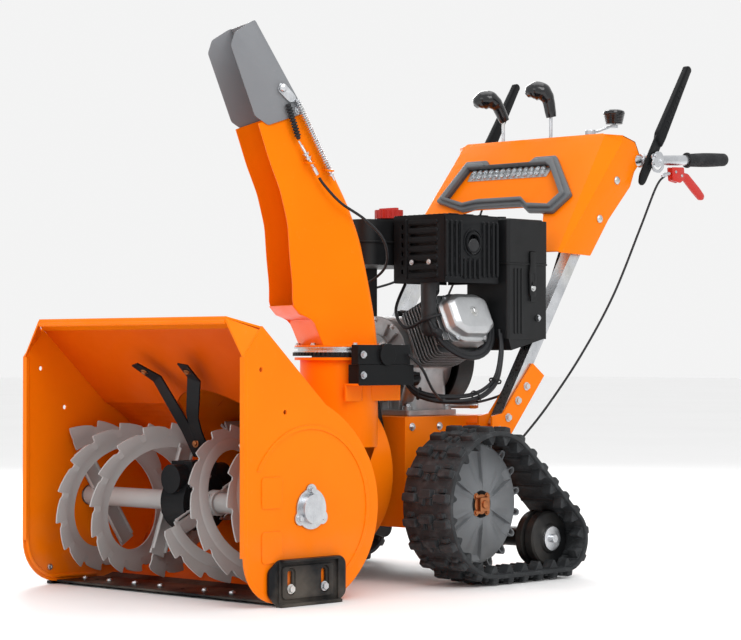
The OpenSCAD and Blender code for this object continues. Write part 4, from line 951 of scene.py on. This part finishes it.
def make_deflector():
    """Cap of folded sheet: two chamfered cheeks, a flat back and its pivot bolts."""
    cap = Solid()
    hole = arc(124, 1022, 5, 0, 342, 19)
    for side in (-1, 1):
        x = side * (CHUTE_HALF + 2.05) - 1.25
        add_plate(cap, [rounded(CAP_SIDE, 5), hole], 2.5,
                  CHUTE_ACROSS @ at(0, 0, x), 0.7)
    way = Vector((223 - 117, 1210 - 1032)).normalized()
    rows = []
    for p in (Vector((117, 1032)) + way * s for s in (0, 60, 120, 180, 206)):
        q = p + Vector((way.y, -way.x)) * 2.6
        rows.append([(*p, -CHUTE_HALF - 1.5), (*p, CHUTE_HALF + 1.5), (*q, CHUTE_HALF + 1.5),
                     (*q, -CHUTE_HALF - 1.5)])
    cap.loops(rows, place=CHUTE_ACROSS)
    cap.make("deflector_cap", "grey_steel", "deflector", ("deflector",))
    fittings = Solid()
    for side in (-1, 1):
        place = CHUTE_ACROSS @ at(124, 1022, side * (CHUTE_HALF + 3.2))
        if side < 0:
            place = place @ at(0, 0, 0, ry=180)
        fittings.bolt(6.5, place)
    fittings.rod(4.6, 2 * CHUTE_HALF + 8,
                 CHUTE_ACROSS @ at(124, 1022, -CHUTE_HALF - 4))
    fittings.turn([(5, 0), (5, 9), (8.5, 9.2), (8.8, 12), (7, 15), (2, 16.5)],
                  CHUTE_ACROSS @ at(163, 1067, CHUTE_HALF + 3), 32)
    add_plate(fittings, [rounded([(154, 1074), (168, 1078), (173, 1062), (146, 1037),
                                  (130, 1040), (133, 1052)], 5)], 2.2,
              CHUTE_ACROSS @ at(0, 0, CHUTE_HALF + 6), 0.5)
    fittings.make("deflector_fittings", "zinc", "deflector", (), 0.3)


LINK_X = CHUTE_HALF + 12


def beside(u, z):
    """A point beside the chute's near wall, in the row frame."""
    return CHUTE_ACROSS @ Vector((u, z, LINK_X))


def make_linkage():
    """Tension spring on its rod, cable boot, threaded adjuster and loop brackets."""
    top, foot = beside(132, 1044), beside(45, 872)
    place = towards(top, foot)
    steel = Solid()
    steel.turn([(2.4, 0), (2.4, 190), (1.6, 192)], place, 16)
    for z in (2, 168, 176):
        steel.bolt(4.6, place @ at(0, 0, z), washer=z != 2)
    coils, per_turn = 30, 16
    helix = [place @ Vector((6 * math.cos(a), 6 * math.sin(a), 8 + 158 * i / (coils * per_turn)))
             for i, a in ((i, 2 * math.pi * i / per_turn) for i in range(coils * per_turn + 1))]
    sweep(steel, helix, 1.2, 6)
    knee, end = beside(124, 950), beside(84, 884)
    place = towards(knee, end)
    thread = [(3.2 + 0.5 * (i % 2), 6 + 1.5 * i) for i in range(34)]
    steel.turn([(2.2, -6), (2.2, 5)] + thread + [(2.6, 58), (4.4, 60), (4.4, 77)], place, 16)
    for z in (24, 34):
        steel.bolt(5.4, place @ at(0, 0, z))
    steel.make("link_steel", "zinc", "chute", ("deflector_linkage",))
    boot = Solid()
    head = beside(152, 1034)
    ribs = [(3.2, 0), (6, 1), (6, 6)]
    for i in range(10):
        z = 8 + 6.6 * i
        ribs += [(4.2, z), (7.4, z + 2.2), (7.4, z + 3.8), (4.2, z + 6)]
    boot.turn(ribs + [(5, 76), (3, 80)], towards(head, knee), 28)
    boot.make("link_boot", "grip_rubber", "chute")
    loops = Solid()
    for u, z in ((100, 912), (57, 897)):
        wall = CHUTE_HALF - 1
        line = [CHUTE_ACROSS @ Vector((u + a, z - b, wall + c)) for a, b, c in (
            (8, 0, 0), (8, 2, 12), (5, 4, 22), (-5, 4, 22), (-8, 2, 12), (-8, 0, 0))]
        sweep(loops, curve_points(line, 4), 2.2, 8)
    loops.make("link_loops", "orange_paint", "chute", (), 0.0)


# ---------------------------------------------------------------- cables

DRIVE_CABLE = [(278, 641, 939), (277, 628, 933), (272, 600, 905), (268, 540, 800),
               (266, 440, 640), (258, 330, 500), (240, 226, 380), (212, 160, 300)]
CHUTE_CABLE = [(234, -236, 500), (246, -205, 470), (230, -150, 420), (190, -60, 394),
               (185, 60, 394), (196, 170, 430), (202, 238, 520), (204, 272, 640),
               (200, 350, 800), (180, 430, 925), (152, 478, 975)]
DEFLECT_CABLE = [(154, -429, 878), (162, -416, 858), (178, -385, 824), (196, -330, 790),
                 (200, -275, 745), (150, -222, 690), (60, -212, 650), (-60, -205, 640),
                 (-180, -190, 640), (-236, -120, 640), (-240, 0, 640), (-232, 110, 655),
                 (-202, 220, 690), (-195, 300, 760), (-150, 380, 850), (-60, 450, 910),
                 (24, 488, 930)]


def make_cables():
    """Jacketed cable runs and the barrels at the upper ends of the drive cables."""
    cables = Solid()
    ends = Solid()
    for side in (-1, 1):
        line = [Vector((side * x, y, z)) for x, y, z in curve_points(DRIVE_CABLE, 10)]
        sweep(cables, line, 2.8, 12)
        ends.turn([(2.9, -4), (4.6, -3), (4.6, 10), (5.6, 11), (5.6, 15), (4, 16), (4, 24), (3, 26)],
                  towards(line[0], line[3]), 20)
    sweep(cables, curve_points(CHUTE_CABLE, 10), 3.1, 12)
    cables.make("cable_runs", "cable_jacket", "chassis", ("control_cables",))
    ends.make("cable_barrels", "zinc", "chassis", (), 0.3)
    lift = Solid()
    sweep(lift, curve_points(DEFLECT_CABLE, 10), 3, 12)
    lift.make("deflector_cable_run", "cable_jacket", "chassis", ("deflector_cable",))


# ---------------------------------------------------------------- dash, lamp and sticks

DASH = at(0, 255, 738, rx=53.7)
LAMP_OUTER = [(-212, 166), (-176, 290), (-108, 290), (-96, 275), (36, 275), (46, 290),
              (112, 290), (217, 166), (184, 113), (106, 118), (76, 140), (-68, 140), (-112, 132)]
LAMP_INNER = [(-182, 172), (-156, 264), (94, 264), (114, 252), (186, 164), (166, 133),
              (98, 139), (70, 160), (-66, 160), (-112, 151)]
LAMP_MID = [(-198, 169), (-167, 278), (-116, 278), (-100, 268), (42, 268), (52, 279),
            (110, 279), (202, 165), (176, 122), (104, 127), (74, 149), (-68, 149), (-112, 141)]


def make_lamp():
    """Faceted lamp surround, reflector tray and two rows of small domed lenses."""
    surround = Solid()
    add_plate(surround, [rounded(LAMP_OUTER, 5), LAMP_INNER], 12,
              DASH @ at(0, 0, 3.2), 2.6)
    add_plate(surround, [rounded(LAMP_MID, 4), LAMP_INNER], 19.5,
              DASH @ at(0, 0, 3.2), 3.2)
    surround.make("lamp_surround", "grey_plastic", "chassis", ("lamp_frame",))
    tray = Solid()
    lenses = Solid()
    for i in range(13):
        for row in (0, 1):
            x, y = -136 + 18.4 * i + 4 * row, 255.5 - 13 * row
            place = DASH @ at(x, y, 4)
            tray.turn([(5.2, 0), (6.6, 5), (7.6, 5.2), (7.6, 0)], place, 24, closed=True)
            lenses.turn([(5.6, 1), (5.6, 4), (4.6, 6.6), (2.8, 8.2), (0.4, 8.8)], place, 20)
    tray.extrude([(-150, 233), (102, 233), (108, 262), (-152, 262)], 1.2,
                 DASH @ at(0, 0, 3.2))
    tray.make("lamp_tray", "bright_cover", "chassis")
    lenses.make("lamp_lenses", "lamp_lens", "chassis", ("lamp_strip",))


DASH_X = 260
TOP = at(0, 468, 1028, rx=-14.4)
STICKS = (-130, 24)


def on_slope(x, v, w):
    return DASH @ Vector((x, v, w))


def make_dash():
    """Folded dash: sloping front with chamfered corners, sides, top and rear flange."""
    dash = Solid()
    low, high = DASH_X - 10, DASH_X - 36
    front = [(-low, 0), (62 - DASH_X, 0), (-150, 116), (-80, 140), (80, 140), (150, 116),
             (DASH_X - 62, 0), (low, 0), (high, 352), (high - 6, 360), (6 - high, 360),
             (-high, 352)]
    add_plate(dash, [rounded(front, 3)], 3, DASH, 0.8)
    for side in (-1, 1):
        rows = []
        for t in (0, 0.33, 0.67, 1):
            a = on_slope(side * (low + (high - low) * t), 352 * t, 3)
            b = on_slope(side * DASH_X, 352 * t, -3 - 22 * t)
            deep = on_slope(0, 0, 0) - on_slope(0, 0, 3) + Vector((-1.5 * side, 0, 0))
            rows.append([a, b, b + deep, a + deep])
        dash.loops(rows)
        corner = [rows[-1][0], Vector((side * (high - 6), 468, 1028)),
                  Vector((side * DASH_X, 486, 1023.4)), rows[-1][1]]
        dash.loops([corner, [p + Vector((-2 * side, 2, -2)) for p in corner]])
        edge = [(257.4, 736.2), (483.5, 1006.9), (486, 1023.4), (534, 1011), (550, 983),
                (514, 902), (430, 819), (362, 732)]
        bar = arc(548, 966.4, 14, 90, 270, 12)
        outline = edge[:5] + [(547, 979.5)] + bar[1:-1] + [(530, 938)] + edge[5:]
        x = DASH_X - 3 if side > 0 else -DASH_X
        add_plate(dash, [rounded(outline, 2)], 3, at(x, 0, 0) @ ALONG_X, 0.7)
    top = [(6 - high, 0), (high - 6, 0), (DASH_X, 18.6), (DASH_X, 68), (-DASH_X, 68),
           (-DASH_X, 18.6)]
    holes = [moved(oblong(16, 54, 7), x, 35) for x in STICKS]
    holes.append(arc(150, 33, 9.5, 0, 345, 23))
    add_plate(dash, [top] + holes, 3, TOP @ at(0, 0, -3), 0.7)
    add_plate(dash, [[(-DASH_X, 0), (DASH_X, 0), (DASH_X, 32), (-DASH_X, 32)]], 3,
              at(0, 534, 1011, rx=-60.3) @ at(0, 0, -3), 0.7)
    dash.make("dash_shell", "orange_paint", "chassis", ("dash_panel",))
    steel = Solid()
    steel.rod(2.8, 2 * DASH_X - 8, at(4 - DASH_X, 502, 940) @ ALONG_X)
    for y, z in ((462, 914), (396, 820)):
        for side in (-1, 1):
            place = at(side * (DASH_X + 0.2), y, z) @ (
                ALONG_X if side > 0 else AGAINST_X)
            steel.turn([(10, 0), (10, 1), (8.6, 3.2), (6, 4.8), (2.6, 5.6), (2.4, 4.6)], place, 32)
    steel.make("dash_bolts", "zinc", "chassis", (), 0.0)
    gaskets = Solid()
    for x in STICKS:
        add_plate(gaskets, [oblong(27, 66, 12), oblong(15, 54, 7)], 2.6,
                  TOP @ at(x, 35, 0), 0.8)
    gaskets.turn([(9.6, 0), (15, 0), (15, 3), (12, 4.5), (9.6, 4.5)],
                 TOP @ at(150, 33, 0), 32, closed=True)
    gaskets.make("dash_gaskets", "grip_rubber", "chassis")


def make_stick(x, lean, body, node):
    """Zinc stem with a bent, pear-shaped glossy knob."""
    stem = Solid()
    base = at(x, 502, 940)
    stem.turn([(3.25, -12), (8, -12), (8, 12), (3.25, 12)], base @ ALONG_X, 28, closed=True)
    head = base @ at(0, 0, 152, rx=lean, rz=-15)
    line = [base @ Vector((0, 0, 6)), base @ Vector((0, 0, 60)), base @ Vector((0, 0, 124)),
            head @ Vector((0, 0, 0)), head @ Vector((0, 0, 12))]
    sweep(stem, curve_points(line, 6), 4.4, 14)
    stem.make(f"{node}_stem", "zinc", body, (node,), 0.4)
    knob = Solid()
    spine = [head @ Vector(p) for p in ((0, 0, -8), (0, 0, 8), (0, 0, 30), (-1, -3, 44),
                                        (-7, -9, 56), (-16, -19, 62), (-26, -29, 61),
                                        (-34, -37, 55))]
    radii = (12.5, 14, 15, 18, 23, 23.5, 19, 7)
    fine = 5
    points = curve_points(spine, fine)

    def radius(i):
        k = min(i // fine, len(radii) - 2)
        t = i / fine - k
        t = t * t * (3 - 2 * t)
        return radii[k] * (1 - t) + radii[k + 1] * t

    sweep(knob, points, 12, 28, radius)
    knob.make(f"{node}_knob", "gloss_black", body, (), 0.0, 2, 50)


def make_crank():
    """Chute crank: turned boss, forged arm and a ribbed tapering knob."""
    crank = Solid()
    base = at(150, 500, 0)
    crank.turn([(8, 985), (8, 1031), (13, 1032), (13, 1042), (11, 1044), (4, 1044.5)], base, 32)
    spine = [base @ Vector(p) for p in ((0, 2, 1038), (0, 20, 1041), (0, 50, 1050),
                                        (0, 72, 1056), (0, 92, 1058.5), (0, 99, 1058.5))]
    rows = []
    for i, p in enumerate(curve_points(spine, 5)):
        w = 9.5 - 0.08 * i
        rows.append([p + Vector((w, 0, -2.2)), p + Vector((w, 0, 2.2)),
                     p + Vector((-w, 0, 2.2)), p + Vector((-w, 0, -2.2))])
    crank.loops(rows)
    crank.turn([(10, 1055), (10, 1062), (5, 1062.4), (5, 1078), (4, 1079)], base @ at(0, 92, 0), 28)
    crank.make("crank_arm", "zinc", "chute_crank", ("chute_crank",), 1.0)
    knob = Solid()
    profile = [(5.4, 0), (19, 0), (21, 1.5)]
    for i in range(6):
        z = 3 + 3.6 * i
        profile += [(21.5 + 0.9 * i, z), (20.5 + 0.9 * i, z + 1.2)]
    profile += [(26.5, 25), (26.6, 28), (25, 32), (19, 35), (6, 36), (5.4, 36)]
    knob.turn(profile, at(150, 592, 1064.2), 48, closed=True)
    knob.make("crank_knob_shell", "gloss_black", "crank_knob", ("crank_knob",))


# ---------------------------------------------------------------- handles

BAR = (Vector((228, 468, 962)), Vector((312, 828, 982)))
LEVER = (575, 975)
TRIGGER_X = 278


def on_bar(t):
    return towards(BAR[0].lerp(BAR[1], t), BAR[0].lerp(BAR[1], t + 1))


def make_handle(side, name, lever_body):
    """Grip, lever clamp, trigger housing, steering trigger and hand lever of one side."""
    reach = (BAR[1] - BAR[0]).length * 0.34
    grip = Solid()
    profile = [(12.7, 0), (18.5, 0), (19, 1.5), (19, 4.5), (17, 6.5)]
    ribs = 22
    for i in range(ribs):
        z = 9 + (reach - 24) * i / ribs
        swell = 15 + 1.4 * math.sin(math.pi * i / ribs)
        profile += [(swell, z), (swell + 0.9, z + 1.2), (swell + 0.9, z + 3), (swell, z + 4)]
    profile += [(16, reach - 12), (15.6, reach - 5), (13.5, reach - 1), (8, reach + 1.6),
                (1, reach + 2)]
    grip.turn(profile, on_bar(0.66), 40)
    grip.on(side).make(f"grip_{name}", "grip_rubber", "chassis",
                             ("hand_grips",) if side > 0 else ())
    clamp = Solid()
    clamp.turn([(12.7, 0), (16.5, 0), (17, 1), (17, 25), (16.5, 26), (12.7, 26)], on_bar(0.265),
               40, closed=True)
    clamp.turn([(9, -4), (9, 8), (5.4, 8.4), (5.4, 20), (9, 20.2), (9, 23), (6, 24)],
               at(262, *LEVER) @ ALONG_X, 28)
    slot = arc(0, 0, 19, 200, 320, 12) + arc(0, 0, 13.5, 320, 200, 12)
    disc = rounded([(-6, 26), (16, 25), (26, 8), (25, -14), (8, -27), (-16, -25), (-24, -6)], 7)
    add_plate(clamp, [disc, slot], 3.2, at(285, 586, 964) @ ALONG_X, 0.8)
    for y, z in ((577, 978), (598, 966)):
        clamp.bolt(4.5, at(288, y, z) @ ALONG_X)
    clamp.box((262, 286), (594, 602), (958, 974))
    clamp.on(side).make(f"lever_clamp_{name}", "zinc", "chassis", (), 0.4)
    housing = Solid()
    body = rounded([(646, 955), (694, 957), (697, 930), (680, 918), (650, 922)], 4)
    for x in (-8, 4.6):
        add_plate(housing, [body], 3.4, at(TRIGGER_X + x, 0, 0) @ ALONG_X, 0.9)
    add_plate(housing, [rounded([(647, 954), (668, 955), (668, 921), (651, 923)], 3)], 15,
              at(TRIGGER_X - 7.5, 0, 0) @ ALONG_X, 0.6)
    housing.on(side).make(f"trigger_housing_{name}", "red_plastic", "chassis")
    pins = Solid()
    for y, z in ((684, 936), (660, 944)):
        pins.screw(3.6, at(TRIGGER_X + 7.9, y, z) @ ALONG_X)
    pins.rod(2.8, 15, at(TRIGGER_X - 7.5, 684, 936) @ ALONG_X)
    pins.on(side).make(f"trigger_pin_{name}", "zinc", "chassis")
    finger = Solid()
    shape = rounded([(676, 930), (684, 927), (697, 929), (736, 900), (766, 880), (780, 882),
                     (784, 893), (764, 910), (716, 943), (690, 945), (677, 942)], 5)
    hole = arc(684, 936, 3.2, 0, 340, 17)
    add_plate(finger, [shape, hole], 8, at(TRIGGER_X - 4, 0, 0) @ ALONG_X, 1.6)
    finger.on(side).make(f"trigger_{name}_finger", "red_plastic", f"trigger_{name}",
                               (f"steering_trigger_{name}",))
    lever = Solid()
    place = at(0, *LEVER, rx=57) @ at(272, 0, 0) @ ALONG_X
    arm = rounded([(-80, -7), (-68, -13), (30, -15), (60, -15), (60, 14), (-60, 14),
                   (-80, 6)], 6)
    bore = arc(0, 0, 5.9, 0, 340, 17)
    add_plate(lever, [arm, bore], 6, place @ at(0, 0, 1), 1.2)
    pad = [(40, -15), (64, -17), (150, -14), (262, -10)] + arc(264, 0, 11, -70, 70, 8) + [
        (262, 10), (150, 12.5), (64, 15), (46, 8)]
    add_plate(lever, [rounded(pad, 4, 2)], 17, place @ at(0, 0, -5), 3.8)
    for i in range(9):
        lever.extrude(oblong(11, 3.2, 1.5, 2), 1.4,
                      place @ at(92 + 15 * i, 0, 11.6) @ at(0, 0, 0, rz=90))
    lever.on(side).make(f"{lever_body}_pad", "black_steel", lever_body, (lever_body,))


# ---------------------------------------------------------------- engine

SHIELD = ((79, 235), (-118, 62), (660, 812))


def make_shield():
    """Pressed muffler guard: ribbed front, fluted side with a ringed outlet, vented top."""
    (x0, x1), (y0, y1), (z0, z1) = SHIELD
    guard = Solid()
    wide, deep, tall = x1 - x0, y1 - y0, z1 - z0
    cx, cy, cz = (x0 + x1) / 2, (y0 + y1) / 2, (z0 + z1) / 2
    slots = [moved(oblong(84, 6, 3), 12, dv) for dv in range(-50, 51, 20)]
    slots += [moved(oblong(6, 11, 3), -52, dv) for dv in range(-50, 51, 20)]
    add_plate(guard, [oblong(wide, tall, 5)] + slots, 2.5,
              at(cx, y0 + 2.5, cz) @ FRONT, 0.8)
    for dv in range(-60, 61, 20):
        guard.extrude(oblong(92, 9, 4, 3), 4.2,
                      at(cx + 12, y0 + 1, cz + dv) @ FRONT, 0.93)
    guard.extrude(oblong(6, 138, 3, 3), 4,
                  at(cx - 38, y0 + 1, cz) @ FRONT, 0.95)
    flutes = [moved(oblong(6, h, 3), du, dv) for du, dv, h in (
        (-78, 0, 110), (-62, 0, 110), (-46, 0, 110), (46, 0, 110), (62, 0, 110), (78, 0, 110),
        (-18, -44, 36), (-2, -44, 36), (14, -44, 36))]
    outlet = arc(2, 14, 19, 0, 345, 23)
    add_plate(guard, [oblong(deep, tall, 5)] + flutes + [outlet], 2.5,
              at(x1 - 2.5, cy, cz) @ ALONG_X, 0.8)
    for du in (-86, -70, -54, -38, 38, 54, 70, 84):
        guard.extrude(oblong(7.5, 128, 3.5, 3), 4.6,
                      at(x1 - 1, cy + du, cz) @ ALONG_X, 0.95)
    for du in (-26, -10, 6, 22):
        guard.extrude(oblong(7.5, 48, 3.5, 3), 4.6,
                      at(x1 - 1, cy + du, cz - 44) @ ALONG_X, 0.93)
    guard.turn([(19, -2), (23, -2), (25, 3), (24, 6), (21, 6.6), (19, 5)],
               at(x1 - 1, cy + 2, cz + 14) @ ALONG_X, 48, closed=True)
    guard.turn([(28, 0), (31.5, 0), (31, 3.4), (28.5, 3.4)],
               at(x1 - 1, cy + 2, cz + 14) @ ALONG_X, 48, closed=True)
    vents = [moved(oblong(5, 34, 2.5), du, dv)
             for du in range(-60, 61, 15) for dv in (-50, 0, 50)]
    add_plate(guard, [oblong(wide, deep, 6)] + vents, 2.5, at(cx, cy, z1 - 2.5), 0.8)
    for du in range(-68, 69, 15):
        for dv in (-50, 0, 50):
            guard.extrude(oblong(5, 36, 2.4, 2), 3.4, at(cx + du, cy + dv, z1 - 1), 0.9)
    guard.box((x0, x0 + 2), (y0 + 4, y1 - 4), (z0, z1 - 2))
    guard.box((x0 + 4, x1 - 4), (y1 - 2.5, y1), (z0, z1 - 2))
    guard.make("muffler_guard", "black_steel", "chassis", ("muffler_shield",), 0.5, 2)
    screws = Solid()
    for x in (cx + 32, cx - 20):
        screws.bolt(4, at(x, y0 - 3, cz - 30) @ FRONT)
    screws.make("guard_screws", "zinc", "chassis")


ROCKER = at(0, -15, CRANK_Z, ry=-25) @ at(216.5, 0, 0) @ at(0, 0, 0, ry=90)


def rocker_ring(inset, height):
    o = inset
    points = [(-58 - o, -34), (-30, -74 - o), (30, -74 - o), (58 + o, -34), (58 + o, 34),
              (30, 74 + o), (-30, 74 + o), (-58 - o, 34)]
    return [(u, v, height) for u, v in rounded(points, 9, 3)]


def make_engine():
    """Rocker dome, engine bolts, oil cap, harness, ribs and plug boot."""
    cover = Solid()
    cover.loops([rocker_ring(0, 0), rocker_ring(0, 6), rocker_ring(-5, 8), rocker_ring(-7, 11),
                 rocker_ring(-9, 25), rocker_ring(-12, 29), rocker_ring(-22, 36),
                 rocker_ring(-30, 36.8)], place=ROCKER)
    cover.make("rocker_dome", "bright_cover", "chassis", ("rocker_cover",), 0.8, 2, 18)
    steel = Solid()
    steel.bolt(8, ROCKER @ at(0, 0, 36))
    for u, v in ((-48, -44), (48, -44), (48, 44), (-48, 44)):
        steel.bolt(4.6, ROCKER @ at(u, v, 4))
    for a in range(0, 360, 45):
        x, z = wheel(50, a)
        steel.bolt(4.6, at(x, -108.4, CRANK_Z + z) @ FRONT)
    for a in range(18, 360, 36):
        x, z = wheel(90, a)
        steel.bolt(4.2, at(x, -96.4, CRANK_Z + z) @ FRONT)
    for x in (-90, 90):
        for y in (-85, 45):
            steel.bolt(7.5, at(x, y, 382))
    for side in (-1, 1):
        for y, z in ((-150, 340), (-60, 340), (40, 326), (-150, 140), (110, 140)):
            steel.bolt(6, at(side * 165.2, y, z)
                       @ (ALONG_X if side > 0 else AGAINST_X))
    steel.turn([(6.6, 60), (9, 61), (9, 74), (6.5, 80), (2, 81)],
               at(80, 48, 384) @ at(0, 0, 0, rz=128) @ at(0, 0, 0, rx=90), 6)
    steel.make("engine_bolts", "zinc", "chassis", (), 0.3)
    dark = Solid()
    neck = at(88, -82, 402) @ at(0, 0, 0, rz=-30) @ at(0, 0, 0, ry=40)
    profile = [(15.4, 50), (18.5, 51), (19.5, 54), (19.5, 64), (17, 67), (7, 68), (6, 66)]
    dark.turn(profile, neck, 10)
    dark.box((-4, 4), (-15, 15), (66, 74), neck)
    dark.make("oil_cap", "black_plastic", "chassis", (), 1.2, 2)
    hoses = Solid()
    harness = [(112, -112, 436), (150, -112, 408), (200, -84, 396), (238, -20, 402),
               (247, 36, 436), (240, 66, 500), (228, 76, 548)]
    for k, (r, dz, dy) in enumerate(((5, 0, 0), (3.4, 9, -2), (3, -3, 8), (2.6, 13, 5))):
        line = [Vector((x - 2 * k, y + dy, z + dz)) for x, y, z in harness]
        sweep(hoses, curve_points(line, 8), r, 12)
    for t, r in ((84, 7.5), (94, 5)):
        ring = [ROCKER @ Vector((*wheel(t, a), -10 + wheel(8, a)[1])) for a in range(-150, 91, 10)]
        sweep(hoses, ring, r, 14)
    sweep(hoses, curve_points([(200, -92, 590), (180, -118, 580), (120, -122, 560),
                               (80, -112, 600), (60, -60, 660)], 8), 3.6, 12)
    hoses.make("engine_hoses", "cable_jacket", "chassis")
    ties = Solid()
    for k in (1, 3, 4):
        a, b = Vector(harness[k]), Vector(harness[k + 1])
        lift = Vector((-2, 3, 5))
        ties.turn([(13, -2), (14.4, -2), (14.4, 2), (13, 2)], towards(a + lift, b + lift), 24,
                  closed=True)
    ties.make("harness_ties", "black_plastic", "chassis")
    ribs = Solid()
    for a in range(-60, 61, 20):
        place = at(0, -100, CRANK_Z, ry=a)
        ribs.box((60, 90), (-4, 10), (-2, 2), place)
        ribs.box((-90, -60), (-4, 10), (-2, 2), place)
    for x in (-70, -35, 0, 35, 70):
        ribs.box((x - 2.5, x + 2.5), (-92, -80), (376, 470))
    ribs.make("crankcase_ribs", "aluminium_cast", "chassis", (), 1.0)
    plug = Solid()
    boot = ROCKER @ at(30, -70, -22, rx=62)
    plug.turn([(6, -14), (7, 0), (11, 2), (12, 10), (11, 26), (7, 32), (5, 44)], boot, 20)
    plug.make("plug_boot", "grip_rubber", "chassis", (), 0.5)


BOX = ((122, 250), (78, 216), (536, 709, 806))


def make_intake():
    """Air box trims: seam lips, strap latch, ribs and a front panel."""
    (x0, x1), (y0, y1), (z0, split, z1) = BOX
    cx, cy = (x0 + x1) / 2, (y0 + y1) / 2
    trim = Solid()
    add_plate(trim, [moved(oblong(x1 - x0 + grow, y1 - y0 + grow, r), cx, cy)
                     for grow, r in ((5, 9), (-2, 7))], 4, at(0, 0, split - 4.5), 1.0)
    trim.extrude(oblong(x1 - x0 - 8, y1 - y0 - 8, 10), 4, at(cx, cy, z1 - 0.5), 0.96)
    strap = rounded([(-10, -40), (10, -40), (12, 10), (8, 34), (9, 62), (-9, 62), (-8, 34),
                     (-12, 10)], 5)
    hole = moved(oblong(8, 30, 4), 0, -2)
    add_plate(trim, [strap, hole], 5, at(x1 + 1, cy + 12, split - 36)
              @ ALONG_X, 1.4)
    for dy in (-46, -34, -22):
        trim.extrude(oblong(5, 150, 2.4, 3), 2.4,
                     at(x1 - 0.4, cy + dy, 622) @ ALONG_X, 0.98)
    panel = moved(oblong(84, 78, 6), cx - 6, 756)
    add_plate(trim, [panel], 3, at(0, y0 + 0.4, 0) @ FRONT, 1.2)
    trim.make("air_box_trim", "black_plastic", "chassis", (), 0.6, 2)
    screw = Solid()
    screw.bolt(5, at(x1 + 0.4, cy + 36, 584) @ ALONG_X)
    screw.bolt(5, at(x1 + 5.5, cy + 12, 652) @ ALONG_X)
    screw.make("air_box_screws", "zinc", "chassis")
    seam = Solid()
    add_plate(seam, [moved(oblong(w, h, r, 8), -78, -62)
                     for w, h, r in ((300, 272, 38), (288, 260, 33))], 4, at(0, 0, 752), 1.2)
    seam.make("tank_seam", "black_plastic", "chassis")
    pull = Solid()
    place = at(-84, 122, 574, ry=-25)
    grip = [(3, -42), (8, -41), (10.4, -34), (9, -12), (8.4, 0), (9, 12), (10.4, 34), (8, 41),
            (3, 42)]
    pull.turn(grip, place @ at(0, 0, 24, rx=90), 28)
    pull.turn([(6, 8), (7.5, 12), (7, 22)], place, 20)
    pull.make("recoil_grip", "black_plastic", "recoil_handle", ("recoil_handle",))


make_chute()
make_deflector()
make_linkage()
make_cables()
make_lamp()
make_dash()
make_stick(STICKS[0], 30, "shift_lever", "shift_lever")
make_stick(STICKS[1], 12, "deflector_lever", "deflector_lever")
make_crank()
make_handle(1, "left", "drive_lever")
make_handle(-1, "right", "auger_lever")
make_shield()
make_engine()
make_intake()


# ---------------------------------------------------------------- light and floor

def add_light(name, place, aim, size, power):
    data = bpy.data.lights.new(name, "AREA")
    data.shape = "RECTANGLE"
    data.size, data.size_y = size
    data.energy = power
    light = bpy.data.objects.new(name, data)
    bpy.context.scene.collection.objects.link(light)
    light.location = place
    light.rotation_euler = (Vector(aim) - Vector(place)).to_track_quat("-Z", "Y").to_euler()


def make_stage():
    world = bpy.data.worlds.new("studio")
    world.use_nodes = True
    sky = world.node_tree.nodes["Background"]
    sky.inputs[0].default_value = (1, 1, 1, 1)
    sky.inputs[1].default_value = 0.9
    bpy.context.scene.world = world
    bpy.context.scene.view_settings.view_transform = "Standard"
    add_light("key", (3.4, -1.6, 3.6), (0, -0.2, 0.6), (2.4, 2.4), 80)
    add_light("front", (0.2, -4.6, 2.4), (0, -0.4, 0.5), (3.2, 1.6), 24)
    add_light("top", (-0.4, 0.4, 4.2), (0, 0, 0.5), (3.0, 3.0), 42)
    add_light("rim", (-3.4, 2.6, 2.6), (0, 0, 0.7), (2.2, 2.2), 70)
    mesh = bpy.data.meshes.new("floor")
    reach = 40
    mesh.from_pydata([(-reach, -reach, 0), (reach, -reach, 0), (reach, reach, 0),
                      (-reach, reach, 0)], [], [(0, 1, 2, 3)])
    mesh.materials.append(floor_finish("floor"))
    floor = bpy.data.objects.new("floor", mesh)
    bpy.context.scene.collection.objects.link(floor)
    floor.location.z = -0.0005


make_stage()
